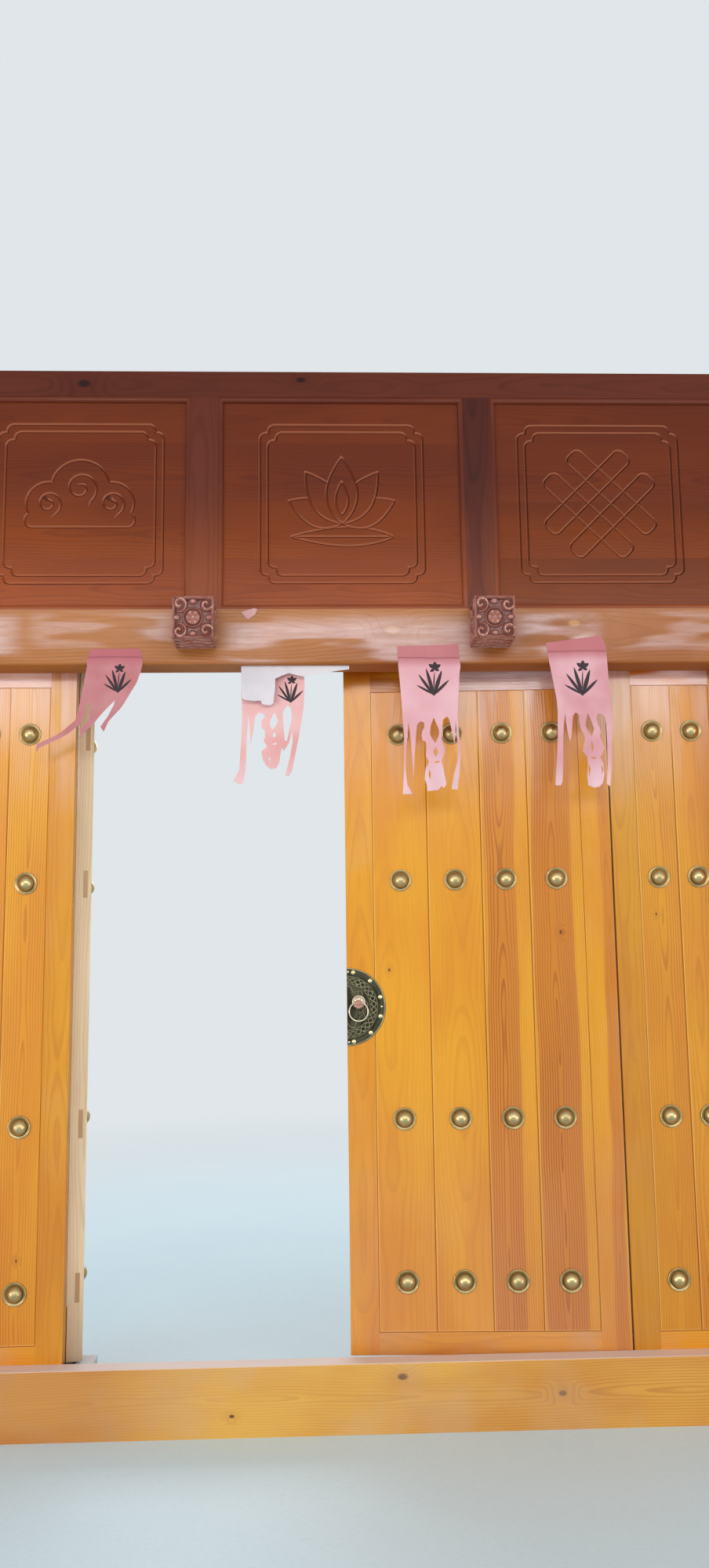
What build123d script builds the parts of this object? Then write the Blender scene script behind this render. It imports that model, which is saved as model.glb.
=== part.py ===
from build123d import *
import os

# A temple gate door with its frame: threshold, jambs, lintel and a header of carved panels, two
# fixed side panels, and two studded leaves that open inwards on iron pivots.
# Millimetres. X runs to the right, Y inwards through the door, Z up. The origin is on the floor
# in the middle of the doorway, in the plane between the sill board and the leaves.

# Doorway and fixed side panels
doorway_width = 1711
clear_height = 2096
side_stile_width = 80.5
side_plank_width = 127.5
side_rail_height = 60
leaf_thickness = 48

# Frame
threshold_height = 195
threshold_thickness = 62
lintel_height = 178
lintel_depth = 112
lintel_round = 10
sill_round = 4
jamb_width = 90
jamb_rear_depth = 60
jamb_rebate = 34.5
tenon_length = 60
rail_tenon_thickness = 36
rail_tenon_shoulder = 30

# Header above the lintel
header_height = 712
header_depth = 90
header_post_width = 90
header_post_centre = 442
top_rail_height = 87
header_tenon_length = 25
header_tenon_width = 40
header_tenon_thickness = 25
field_setback = 14
field_thickness = 26
field_groove = 10
bead_width = 16
bead_setback = 2
bead_round = 9

# Carving in the header fields
carving_width = 528
carving_height = 532
carving_notch = 27
carving_corner_cut = 15
carving_line_spacing = 25
carving_line = 7
carving_depth = 4
side_carving_centre = 838
motif_size = 372
cloud_sides = 16

# Leaves
hinge_seam = 3
meeting_seam = 6
leaf_front_gap = 1
meeting_stile_width = 87.5
hinge_stile_width = 91.6
leaf_plank_shares = (0.2625, 0.2566, 0.2267, 0.2542)
leaf_top_rail_height = 72
leaf_bottom_rail_height = 65
lintel_overlap = 15
threshold_overlap = 11
side_panel_relief = 2
plank_thickness = 12
plank_groove = 3
batten_thickness = 26
batten_height = 104
mortise_height = 86
mortise_thickness = 14
rail_mortise_margin = 12
batten_shares = (0.0994, 0.3266, 0.6753, 0.8987)
left_rest_angle = 105
right_rest_angle = 3.3

# Brass studs, one on every plank at every batten
stud_diameter = 70
stud_rim_height = 6
stud_rim_width = 5
stud_dome_diameter = 48
stud_dome_height = 24
stud_facets = 8

# Half-round plate and ring handle on each meeting stile
plate_radius = 121
plate_thickness = 2
plate_edge_inset = 1
plate_height = 1221.5
plate_nail_count = 6
plate_nail_diameter = 15
plate_nail_inset = 12
plate_nail_first_turn = 11
plate_nail_pitch = 31.6
nail_height = 4.5
nail_facets = 6
dome_shoulder = 0.72
dome_tip = 0.16
boss_offset = 37
boss_rise = 15
boss_diameter = 42
boss_thickness = 8
boss_rim = 3
boss_facets = 12
lug_length = 10
lug_width = 10
lug_thickness = 6
ring_wire = 5
ring_outer_diameter = 64
ring_play = 0.5
ring_sides = 16
octagon_cut = 0.2929

# Iron pivots at the rear corner of each hinge stile, and what holds them
pivot_outset = 1
strap_thickness = 6
strap_reach = 120
strap_width = 36
strap_leg_height = 150
strap_leg_inset = 8
pin_diameter = 20
pin_length = 30
pin_clearance = 0.05
socket_width = 36
flange_width = 50
flange_height = 8
thrust_gap = 0.3
lift_gap = 2
socket_floor = 4
pivot_board_depth = 100
pivot_board_height = 130
pivot_board_overhang = 105
pivot_block_width = 150
pivot_block_depth = 160
pivot_block_tenon = 40

# Carved door pins on the lintel, their tails and wedges
door_pin_width = 124
door_pin_height = 130
door_pin_projection = 130
door_pin_centre = 462
door_pin_drop = 50
door_pin_relief = 9
door_pin_edge_cut = 6
door_pin_tail = 50
tail_end = 52
wedge_thickness = 14
wedge_width = 24
wedge_length = 96
wedge_taper = 6

# Paper hangings pasted to the lintel, and a torn strip under it
paper_thickness = 0.8
paper_width = 192
paper_length = 472
paper_head_share = 0.44
paper_slit_share = 0.22
paper_tips = (0.20, -0.12)
paper_places = (-0.832, -0.263, 0.309, 0.860)
paper_top_shares = (0.298, 0, 0.343, 0.466)
side_paper_share = 0.86
side_paper_length = 330
soffit_paper_length = 360
soffit_paper_setback = 52
soffit_fold_depth = 60
soffit_strip_width = 368
soffit_strip_drop = 54
soffit_strip_fold = 17

# Levels and places that follow from the sizes above
lintel_bottom = threshold_height + clear_height
lintel_top = lintel_bottom + lintel_height
header_top = lintel_top + header_height
gate_top = header_top + top_rail_height
side_panel_width = 2 * side_stile_width + 2 * side_plank_width
jamb_inside = doorway_width / 2 + side_panel_width - jamb_rebate
jamb_outside = jamb_inside + jamb_width
leaf_bottom = threshold_height - threshold_overlap
leaf_top = lintel_bottom + lintel_overlap
leaf_back = leaf_front_gap + leaf_thickness
hinge_edge = doorway_width / 2 - hinge_seam
meeting_edge = meeting_seam / 2
leaf_field_width = hinge_edge - meeting_edge - meeting_stile_width - hinge_stile_width
leaf_plank_widths = [leaf_field_width * share for share in leaf_plank_shares]
batten_heights = [leaf_bottom + (leaf_top - leaf_bottom) * share for share in batten_shares]
pivot_x = hinge_edge + pivot_outset
pivot_y = leaf_back
strap_bottom = leaf_bottom - strap_thickness
strap_top = leaf_top + strap_thickness
pivot_block_height = strap_bottom - thrust_gap - flange_height
pivot_board_bottom = strap_top + lift_gap + flange_height
door_pin_level = lintel_bottom + door_pin_drop + door_pin_height / 2


def block(x_range, y_range, z_range):
    """A rectangular block between three pairs of limits."""
    sizes = [high - low for low, high in (x_range, y_range, z_range)]
    middles = [(high + low) / 2 for low, high in (x_range, y_range, z_range)]
    return Pos(*middles) * Box(*sizes)


def facing_front(x, y, z):
    """A plane whose own x is +X and y is +Z, and whose normal points to the front."""
    return Plane(origin=(x, y, z), x_dir=(1, 0, 0), z_dir=(0, -1, 0))


def around(middle, size):
    """The two limits of a given size about its middle."""
    return (middle - size / 2, middle + size / 2)


def mirrored(shape):
    """The same piece on the left side of the gate."""
    return mirror(shape, about=Plane.YZ)


def line_ring(face, width):
    """The band of a given width along a face's outline."""
    outer, inner = (offset(face, amount=side * width / 2, kind=Kind.INTERSECTION) for side in (1, -1))
    return outer - inner


# Main timbers of the frame
def threshold():
    """Sill board that stands on the floor, tenoned into both jambs."""
    board = block((-jamb_inside, jamb_inside), (-threshold_thickness, 0), (0, threshold_height))
    board = fillet(board.edges().filter_by(Axis.X).sort_by(Axis.Z)[-2:].sort_by(Axis.Y)[0], sill_round)
    board -= [tenon_of_pivot_block(side) for side in (1, -1)]
    return board + rail_tenons(-threshold_thickness, 0, 0, threshold_height)


def rail_tenons(front, back, bottom, top):
    """The two end tenons of a rail that spans between the jambs."""
    depth = around((front + back) / 2, rail_tenon_thickness)
    height = (bottom + rail_tenon_shoulder, top - rail_tenon_shoulder)
    right = block((jamb_inside, jamb_inside + tenon_length), depth, height)
    return [right, mirrored(right)]


def lintel():
    """Beam over the doorway, with its lower front arris rounded."""
    beam = block((-jamb_inside, jamb_inside), (-lintel_depth, 0), (lintel_bottom, lintel_top))
    beam = fillet(beam.edges().filter_by(Axis.X).group_by(Axis.Z)[0].sort_by(Axis.Y)[0], lintel_round)
    beam -= [header_post_tenon(side, 0) for side in (1, -1)]
    beam -= [door_pin_tail_block(side) for side in (1, -1)]
    beam -= [field_blank(*span) for span in header_spans()]
    return beam + rail_tenons(-lintel_depth, 0, lintel_bottom, lintel_top)


def top_rail():
    """Rail along the top of the header, lying over posts and jambs."""
    depth = (-lintel_depth, header_depth - lintel_depth)
    rail = block((-jamb_outside, jamb_outside), depth, (header_top, gate_top))
    rail -= [header_post_tenon(side, 1) for side in (1, -1)]
    rail -= [field_blank(*span) for span in header_spans()]
    return rail


def right_jamb():
    """Upright at the end of the gate, rebated for the side panel and mortised for the rails."""
    post = block((jamb_inside, jamb_outside), (-lintel_depth, jamb_rear_depth), (0, header_top))
    post -= block((jamb_inside, jamb_inside + jamb_rebate), (0, jamb_rear_depth), side_panel_levels())
    post -= rail_tenons(-threshold_thickness, 0, 0, threshold_height)[0]
    post -= rail_tenons(-lintel_depth, 0, lintel_bottom, lintel_top)[0]
    return post - field_blank(*header_spans()[2])


# Header: posts, carved fields and bead mouldings
def header_spans():
    """Left and right limits of the three openings of the header."""
    inner = header_post_centre - header_post_width / 2
    outer = header_post_centre + header_post_width / 2
    return [(-jamb_inside, -outer), (-inner, inner), (outer, jamb_inside)]


def header_post_tenon(side, upper):
    """Stub tenon at the lower (0) or upper (1) end of a header post."""
    level = header_top if upper else lintel_top
    reach = (level, level + header_tenon_length) if upper else (level - header_tenon_length, level)
    depth = around(header_depth / 2 - lintel_depth, header_tenon_thickness)
    return block(around(side * header_post_centre, header_tenon_width), depth, reach)


def header_post(side):
    """Post between two header fields, grooved for both of them."""
    depth = (-lintel_depth, header_depth - lintel_depth)
    post = block(around(side * header_post_centre, header_post_width), depth, (lintel_top, header_top))
    post -= [field_blank(*span) for span in header_spans()]
    return post + [header_post_tenon(side, 0), header_post_tenon(side, 1)]


def field_blank(left, right):
    """A header field before carving: it stands in grooves on all four sides."""
    front = field_setback - lintel_depth
    return block(
        (left - field_groove, right + field_groove),
        (front, front + field_thickness),
        (lintel_top - field_groove, header_top + field_groove),
    )


def header_field(span, centre, motif):
    """Header field with its double carved frame and a motif inside it."""
    face = facing_front(centre, field_setback - lintel_depth, (lintel_top + header_top) / 2)
    shrink = 2 * carving_line_spacing
    lines = line_ring(notched_square(0), carving_line) + line_ring(notched_square(shrink), carving_line)
    field = field_blank(*span)
    field -= extrude(face * lines, amount=-carving_depth)
    return field - extrude(face * motif, amount=-carving_depth)


def notched_square(shrink):
    """Outline with a rounded step at each corner, smaller than the outer frame by shrink."""
    width = carving_width - shrink
    height = carving_height - shrink
    outline = Rectangle(width, height)
    for x in (-width / 2, width / 2):
        for y in (-height / 2, height / 2):
            outline -= Pos(x, y) * Rectangle(2 * carving_notch, 2 * carving_notch)
    inner = (width / 2 - carving_notch, height / 2 - carving_notch)
    stepped = [v for v in outline.vertices() if abs(v.X) > inner[0] + 1 or abs(v.Y) > inner[1] + 1]
    return chamfer(stepped, carving_corner_cut)


def petal(length, width, angle, root=(0, 0)):
    """A pointed petal that grows from a root at an angle from upright."""
    belly = [(0.36, 0.18), (0.5, 0.45), (0.36, 0.74)]
    right = [(width * x, length * y) for x, y in belly]
    left = [(-x, y) for x, y in reversed(right)]
    outline = Polyline((0, 0), *right, (0, length), *left, close=True)
    return Pos(*root) * Rot(0, 0, angle) * make_face(outline)


def lotus_motif():
    """Open lotus flower seen from the side: an upright petal before two pairs of others, on a leaf."""
    root = (0, -motif_size * 0.18)
    cover = petal(motif_size * 0.60, motif_size * 0.27, 0, root)
    drawn = line_ring(cover, carving_line)
    for angle, length in ((34, 0.56), (66, 0.50)):
        pair = [petal(motif_size * length, motif_size * 0.25, turn, root) for turn in (angle, -angle)]
        drawn += [line_ring(side_petal, carving_line) - cover for side_petal in pair]
        cover += pair
    leaf_tip = (motif_size * 0.44, -motif_size * 0.30)
    return drawn + line_ring(petal(2 * leaf_tip[0], motif_size * 0.17, 90, leaf_tip), carving_line)


def cloud_motif():
    """Drifting cloud: a bank of three lobes, each with a curl inside."""
    lobes = ((-0.27, 0.0, 0.19), (0.0, 0.14, 0.25), (0.27, 0.0, 0.19))
    bank = Pos(0, -motif_size * 0.15) * Rectangle(motif_size * 0.94, motif_size * 0.13)
    drawn = Sketch()
    for x, y, radius in lobes:
        centre = Pos(motif_size * x, motif_size * y)
        bank += centre * RegularPolygon(motif_size * radius, cloud_sides)
        curl = line_ring(RegularPolygon(motif_size * radius / 2, cloud_sides), carving_line)
        drawn += centre * (curl - Pos(-motif_size / 2, -motif_size / 2) * Rectangle(motif_size, motif_size))
    return drawn + line_ring(bank, carving_line)


def knot_motif():
    """Endless knot: two pairs of long loops that cross on the diagonals."""
    drawn = Sketch()
    for turn in (45, -45):
        for shift in (-0.15, 0.15):
            loop = Rectangle(motif_size * 0.98, motif_size * 0.16)
            loop = chamfer(loop.vertices(), motif_size * 0.045)
            drawn += Rot(0, 0, turn) * Pos(0, motif_size * shift) * line_ring(loop, carving_line)
    return drawn


def header_bead(span):
    """Rounded bead round one opening of the header, in front of the field."""
    depth = (bead_setback - lintel_depth, field_setback - lintel_depth)
    outer = block(span, depth, (lintel_top, header_top))
    hole = (span[0] + bead_width, span[1] - bead_width)
    ring = outer - block(hole, depth, (lintel_top + bead_width, header_top - bead_width))
    front_inner = ring.faces().sort_by(Axis.Y)[0].inner_wires()[0].edges()
    return fillet(front_inner, bead_round)


# Framed and battened panels, shared by the fixed side panels and the leaves
def boarded_panel(start, stiles, planks, levels, rails, front):
    """Pieces of one panel: two stiles, two rails, planks and battens with through tenons.

    start is the first stile's outer edge, stiles and planks are widths, levels and rails are
    bottom and top values, and front is the face's depth.
    """
    bottom, top = levels
    inner = start + stiles[0]
    outer = inner + sum(planks)
    end = outer + stiles[1]
    back = front + leaf_thickness
    batten_front = front + plank_thickness
    tenon_depth = (batten_front, batten_front + mortise_thickness)
    rail_levels = ((bottom, bottom + rails[0]), (top - rails[1], top))
    batten_depth = (batten_front, batten_front + batten_thickness)
    tenons = [block((start, end), tenon_depth, around(z, mortise_height)) for z in batten_heights]
    battens = [block((inner, outer), batten_depth, around(z, batten_height)) for z in batten_heights]
    rail_tenon_levels = [(low + rail_mortise_margin, high - rail_mortise_margin) for low, high in rail_levels]
    rail_tenons_through = [block((start, end), tenon_depth, level) for level in rail_tenon_levels]
    rail_pieces = [block((inner, outer), (front, back), level) for level in rail_levels]
    mortises = tenons + rail_tenons_through
    return {
        "first_stile": block((start, inner), (front, back), levels) - mortises,
        "last_stile": block((outer, end), (front, back), levels) - mortises,
        "bottom_rail": rail_pieces[0] + rail_tenons_through[0],
        "top_rail": rail_pieces[1] + rail_tenons_through[1],
        "planks": plank_row(inner, planks, (front, batten_front), (rail_levels[0][1], rail_levels[1][0])),
        "battens": [batten + tenon for batten, tenon in zip(battens, tenons)],
        "studs": stud_grid(inner, planks, front),
    }


def plank_row(start, widths, depth, levels):
    """Planks side by side, their front edges bevelled so that a groove shows at each joint."""
    planks = []
    for width in widths:
        plank = block((start, start + width), depth, levels)
        planks.append(chamfer(plank.faces().sort_by(Axis.Y)[0].edges(), plank_groove))
        start += width
    return planks


def turned(profile, facets):
    """A small turned fitting with flat facets; the profile is (radius, height) from back to tip."""
    turns = [360 * i / facets for i in range(facets)]
    rings = [[Vector(r, 0, height).rotate(Axis.Z, turn) for turn in turns] for r, height in profile]
    outlines = [rings[0], rings[-1]]
    for low, high in zip(rings, rings[1:]):
        outlines += [[low[i - 1], low[i], high[i], high[i - 1]] for i in range(facets)]
    return Solid(Shell([Face(Wire.make_polygon(outline, close=True)) for outline in outlines]))


def stud():
    """One brass stud: a raised rim, a flat and a dome."""
    rim = stud_diameter / 2
    dome = stud_dome_diameter / 2
    low, high = stud_rim_height, stud_dome_height
    return turned(((rim, 0), (rim - stud_rim_width, low), (dome, low), *cap(dome, low, high)), stud_facets)


def cap(radius, low, high):
    """The middle ring and the tip of a facetted dome."""
    return (radius * dome_shoulder, low + (high - low) * dome_shoulder), (radius * dome_tip, high)


def stud_grid(start, widths, front):
    """Studs at the middle of each plank, on every batten."""
    studs = []
    piece = stud()
    for width in widths:
        for z in batten_heights:
            studs.append(facing_front(start + width / 2, front, z).location * piece)
        start += width
    return studs


def side_panel_levels():
    """Bottom and top of a fixed side panel, clear of the leaf's pivot straps."""
    return (leaf_bottom + side_panel_relief, leaf_top - side_panel_relief)


def side_panel():
    """Fixed panel to the right of the doorway."""
    stiles = (side_stile_width, side_stile_width)
    planks = (side_plank_width, side_plank_width)
    rails = (side_rail_height, side_rail_height)
    return boarded_panel(doorway_width / 2, stiles, planks, side_panel_levels(), rails, 0)


def leaf():
    """Right leaf, closed."""
    stiles = (meeting_stile_width, hinge_stile_width)
    rails = (leaf_bottom_rail_height, leaf_top_rail_height)
    levels = (leaf_bottom, leaf_top)
    return boarded_panel(meeting_edge, stiles, leaf_plank_widths, levels, rails, leaf_front_gap)


# Pull plate and ring
def pull_plate():
    """Half-round plate whose straight side runs along the meeting edge."""
    disc = Circle(plate_radius) & Pos(plate_radius, 0) * Rectangle(2 * plate_radius, 2 * plate_radius)
    plane = facing_front(meeting_edge + plate_edge_inset, leaf_front_gap, plate_height)
    return extrude(plane * disc, amount=plate_thickness)


def plate_nails():
    """Dome nails along the plate's rim."""
    radius = plate_radius - plate_nail_inset
    nail_radius = plate_nail_diameter / 2
    nail = turned(((nail_radius, 0), *cap(nail_radius, 0, nail_height)), nail_facets)
    nails = []
    for i in range(plate_nail_count):
        spot = Vector(0, radius).rotate(Axis.Z, -plate_nail_first_turn - i * plate_nail_pitch)
        plane = facing_front(meeting_edge + spot.X, leaf_front_gap - plate_thickness, plate_height + spot.Y)
        nails.append(plane.location * nail)
    return nails


def ring_boss():
    """Round boss on the plate, with a pierced lug in its middle for the ring."""
    x, y, z = ring_axis_point()
    front = leaf_front_gap - plate_thickness
    base, crown = boss_diameter / 2, boss_diameter / 2 * dome_shoulder
    profile = ((base, 0), (base, boss_rim), (crown, boss_thickness))
    boss = facing_front(x, front, z).location * turned(profile, boss_facets)
    reach = (front - boss_thickness - lug_length, front - boss_thickness)
    lug = block(around(x, lug_thickness), reach, around(z, lug_width))
    hole = Pos(x, y, z) * Rot(0, 90, 0) * Cylinder(ring_wire / 2 + ring_play, 2 * lug_thickness)
    return boss + lug - hole


def ring_axis_point():
    """Middle of the lug's hole, about which the ring swings, on the closed right leaf."""
    front = leaf_front_gap - plate_thickness - boss_thickness - lug_length / 2
    return (meeting_edge + boss_offset, front, plate_height + boss_rise)


def pull_ring():
    """Ring that hangs in the lug of its boss."""
    x, y, z = ring_axis_point()
    radius = (ring_outer_diameter - ring_wire) / 2
    outer = RegularPolygon(radius + ring_wire / 2, ring_sides, major_radius=False, rotation=180 / ring_sides)
    inner = RegularPolygon(radius - ring_wire / 2, ring_sides, major_radius=False, rotation=180 / ring_sides)
    ring = extrude(facing_front(x, y, z - radius) * (outer - inner), amount=ring_wire / 2, both=True)
    return chamfer(ring.edges() - ring.edges().filter_by(Axis.Y), ring_wire * octagon_cut)


# Pivots of the leaves and their sockets
def pivot_strap(upper):
    """Iron strap bent round the leaf's corner, with its round pin on the pivot axis."""
    low, high = (leaf_top, strap_top) if upper else (strap_bottom, leaf_bottom)
    length = strap_reach + strap_width / 2
    plate = Pos(pivot_x + strap_width / 2 - length / 2, pivot_y) * Rectangle(length, strap_width)
    plate = chamfer(plate.vertices().sort_by(Axis.X)[-2:], strap_width * octagon_cut)
    strap = extrude(Pos(0, 0, low) * plate, amount=high - low)
    leg_ends = (leaf_top - strap_leg_height, high) if upper else (low, leaf_bottom + strap_leg_height)
    leg_side = pivot_x - strap_leg_inset
    strap += block((leg_side - strap_width, leg_side), (leaf_back, leaf_back + strap_thickness), leg_ends)
    start = strap_top if upper else strap_bottom - pin_length
    return strap + Pos(pivot_x, pivot_y, start + pin_length / 2) * Cylinder(pin_diameter / 2, pin_length)


def pivot_socket(upper):
    """Square iron socket with a flange; the pin turns in its round bore."""
    away = 1 if upper else -1
    mouth = pivot_board_bottom - flange_height if upper else pivot_block_height + flange_height
    flange = Pos(0, 0, away * flange_height / 2) * Box(flange_width, flange_width, flange_height)
    bore_depth = pin_length + flange_height
    bore = Pos(0, 0, away * bore_depth / 2) * Cylinder(pin_diameter / 2 + pin_clearance, bore_depth)
    return Pos(pivot_x, pivot_y, mouth) * flange + socket_seat(upper) - Pos(pivot_x, pivot_y, mouth) * bore


def socket_seat(upper):
    """The body of a socket, and the hole that it fills in the wood."""
    depth = pin_length + socket_floor
    start = pivot_board_bottom if upper else pivot_block_height - depth
    return Pos(pivot_x, pivot_y, start + depth / 2) * Box(socket_width, socket_width, depth)


def pivot_board():
    """Board behind the lintel that holds the upper sockets, itself held by the door pins."""
    reach = pivot_x + pivot_board_overhang
    levels = (pivot_board_bottom, pivot_board_bottom + pivot_board_height)
    board = block((-reach, reach), (0, pivot_board_depth), levels)
    board -= [socket_seat(1), mirrored(socket_seat(1))]
    return board - [door_pin_tail_block(side) for side in (1, -1)]


def tenon_of_pivot_block(side):
    """Stub tenon by which a pivot block is held in the threshold."""
    width = pivot_block_width - 2 * rail_tenon_shoulder
    levels = (rail_tenon_shoulder, pivot_block_height - rail_tenon_shoulder)
    return block(around(side * pivot_x, width), (-pivot_block_tenon, 0), levels)


def right_pivot_block():
    """Block on the floor behind the threshold, under the right leaf's pivot."""
    body = block(around(pivot_x, pivot_block_width), (0, pivot_block_depth), (0, pivot_block_height))
    return body - socket_seat(0) + tenon_of_pivot_block(1)


# Door pins
def door_pin_tail_block(side, reach=0):
    """The door pin's square tail through the lintel and the pivot board."""
    depth = (-lintel_depth, pivot_board_depth + reach)
    return block(around(side * door_pin_centre, door_pin_tail), depth, around(tail_level(), door_pin_tail))


def tail_level():
    """Height of the tails' middle: the middle of the pivot board."""
    return pivot_board_bottom + pivot_board_height / 2


def wedge(side):
    """Tapered wedge through a tail, drawing the door pin tight against the lintel."""
    half = wedge_width / 2
    end = wedge_length / 2
    outline = Polyline((-half, end), (half, end), (half - wedge_taper, -end), (-half, -end), close=True)
    middle = (side * door_pin_centre, pivot_board_depth + half, tail_level())
    plane = Plane(origin=middle, x_dir=(0, 1, 0), z_dir=(1, 0, 0))
    return extrude(plane * make_face(outline), amount=wedge_thickness / 2, both=True)


def door_pin(side):
    """Carved block on the lintel's face, one piece with its tail."""
    front = -lintel_depth - door_pin_projection
    x = side * door_pin_centre
    levels = around(door_pin_level, door_pin_height)
    head = block(around(x, door_pin_width), (front + door_pin_relief, -lintel_depth), levels)
    head = chamfer(head.faces().sort_by(Axis.Y)[0].edges(), door_pin_edge_cut)
    face = facing_front(x, front + door_pin_relief, door_pin_level)
    head += extrude(face * door_pin_relief_outline(), amount=door_pin_relief)
    return head + door_pin_tail_block(side, tail_end) - wedge(side)


def door_pin_relief_outline():
    """Raised pattern of the head: a rosette in the middle and a scroll eye in each corner."""
    corner = door_pin_width * 0.30
    eye = door_pin_width * 0.14
    raised = RegularPolygon(door_pin_width * 0.26, 8) - RegularPolygon(door_pin_width * 0.21, 8)
    raised += PolarLocations(door_pin_width * 0.1, 4) * RegularPolygon(door_pin_width * 0.055, 4)
    for x in (-corner, corner):
        for y in (-corner, corner):
            raised += Pos(x, y) * (RegularPolygon(eye, 6) - RegularPolygon(eye * 0.45, 6))
    return raised


# Paper hangings
def paper(strip_lengths, width=paper_width, length=paper_length):
    """A hanging cut from one sheet: a plain upper part and hanging strips of given lengths.

    Strip lengths are shares of the paper's length, from left to right, with slits between.
    """
    pitch = width / len(strip_lengths)
    half_root = pitch * (0.5 - paper_slit_share)
    head = length * paper_head_share
    sheet = Pos(0, -head / 2) * Rectangle(width, head)
    for i, share in enumerate(strip_lengths):
        x = (i + 0.5) * pitch - width / 2
        tips = [(x + pitch * tip, -length * share) for tip in paper_tips]
        sheet += make_face(Polyline((x - half_root, -head), (x + half_root, -head), *tips, close=True))
    return sheet


def paper_x(place):
    """Middle of one of the hangings, counted from the left."""
    return paper_places[place] * doorway_width / 2


def lintel_paper(place, strips, lean=0, width=paper_width, length=paper_length):
    """A hanging pasted on the lintel's face."""
    sheet = Rot(0, 0, lean) * paper(strips, width, length)
    top = lintel_bottom + lintel_height * paper_top_shares[place]
    return extrude(facing_front(paper_x(place), -lintel_depth, top) * sheet, amount=paper_thickness)


def soffit_paper(place, strips):
    """A hanging pasted under the lintel, set back from its face."""
    y = -lintel_depth + soffit_paper_setback
    sheet = paper(strips, paper_width, soffit_paper_length)
    hanging = extrude(facing_front(paper_x(place), y, lintel_bottom) * sheet, amount=paper_thickness)
    return hanging + soffit_fold(around(paper_x(place), paper_width), y, soffit_fold_depth)


def soffit_fold(limits, y, depth):
    """The turned part of a paper, pasted flat under the lintel."""
    return block(limits, (y - paper_thickness, y + depth), (lintel_bottom - paper_thickness, lintel_bottom))


def soffit_strip():
    """A torn white strip pasted under the lintel's edge, wider at its left end."""
    y = -lintel_depth + soffit_paper_setback / 2
    limits = around(paper_x(1) + paper_width * 0.44, soffit_strip_width)
    left, right = limits
    torn = [((left + right) / 2, -soffit_strip_drop * 0.7), (left, -soffit_strip_drop)]
    edge = Polyline((left, 0), (right, 0), (right, -soffit_strip_drop * 0.2), *torn, close=True)
    hanging = extrude(facing_front(0, y, lintel_bottom) * make_face(edge), amount=paper_thickness)
    return hanging + soffit_fold(limits, y, soffit_strip_fold)


# Placing and writing the pieces
def right_leaf_rest(shape):
    """A closed right-hand piece, turned to the right leaf's place at rest."""
    return shape.rotate(Axis((pivot_x, pivot_y, 0), (0, 0, 1)), -right_rest_angle)


def left_leaf_rest(shape):
    """A closed right-hand piece, mirrored and turned to the left leaf's place at rest."""
    return mirrored(shape).rotate(Axis((-pivot_x, pivot_y, 0), (0, 0, 1)), left_rest_angle)


def write(name, pieces):
    """Write one node; a list of pieces stays a group of separate solids."""
    shape = Compound(children=list(pieces)) if isinstance(pieces, list) else pieces
    export_step(shape, f"parts/{name}.step")


def frame_pieces():
    """Every fixed piece of the gate, by node name."""
    left, centre, right = header_spans()
    pieces = {
        "left_header_panel": header_field(left, -side_carving_centre, cloud_motif()),
        "centre_header_panel": header_field(centre, 0, lotus_motif()),
        "right_header_panel": header_field(right, side_carving_centre, knot_motif()),
    }
    pieces["threshold"] = threshold()
    pieces["lintel"] = lintel()
    pieces["top_rail"] = top_rail()
    pieces["right_jamb"] = right_jamb()
    pieces["left_jamb"] = mirrored(pieces["right_jamb"])
    pieces["right_header_post"] = header_post(1)
    pieces["left_header_post"] = header_post(-1)
    pieces["header_mouldings"] = [header_bead(span) for span in header_spans()]
    pieces["pivot_board"] = pivot_board()
    pieces["right_pivot_block"] = right_pivot_block()
    pieces["left_pivot_block"] = mirrored(pieces["right_pivot_block"])
    lower, upper = pivot_socket(0), pivot_socket(1)
    pieces["lower_pivot_sockets"] = [lower, mirrored(lower)]
    pieces["upper_pivot_sockets"] = [upper, mirrored(upper)]
    pieces["right_door_pin"] = door_pin(1)
    pieces["left_door_pin"] = door_pin(-1)
    pieces["door_pin_wedges"] = [wedge(1), wedge(-1)]
    return pieces


def side_panel_pieces():
    """Both fixed side panels, by node name."""
    panel = side_panel()
    groups = {
        "stiles": [panel["first_stile"], panel["last_stile"]],
        "rails": [panel["bottom_rail"], panel["top_rail"]],
        "planks": panel["planks"],
        "battens": panel["battens"],
        "studs": panel["studs"],
    }
    pieces = {}
    for group, solids in groups.items():
        pieces[f"right_side_{group}"] = solids
        pieces[f"left_side_{group}"] = [mirrored(solid) for solid in solids]
    return pieces


def leaf_pieces():
    """Both leaves with their fittings, by node name, at rest."""
    panel = leaf()
    closed = {
        "meeting_stile": panel["first_stile"],
        "hinge_stile": panel["last_stile"],
        "bottom_rail": panel["bottom_rail"],
        "top_rail": panel["top_rail"],
        "planks": panel["planks"],
        "battens": panel["battens"],
        "studs": panel["studs"],
        "pull_plate": pull_plate(),
        "plate_nails": plate_nails(),
        "ring_boss": ring_boss(),
        "pull_ring": pull_ring(),
        "upper_pivot": pivot_strap(1),
        "lower_pivot": pivot_strap(0),
    }
    pieces = {}
    for side, rest in (("right", right_leaf_rest), ("left", left_leaf_rest)):
        for name, shape in closed.items():
            moved = [rest(s) for s in shape] if isinstance(shape, list) else rest(shape)
            pieces[f"{side}_leaf_{name}"] = moved
    return pieces


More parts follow.
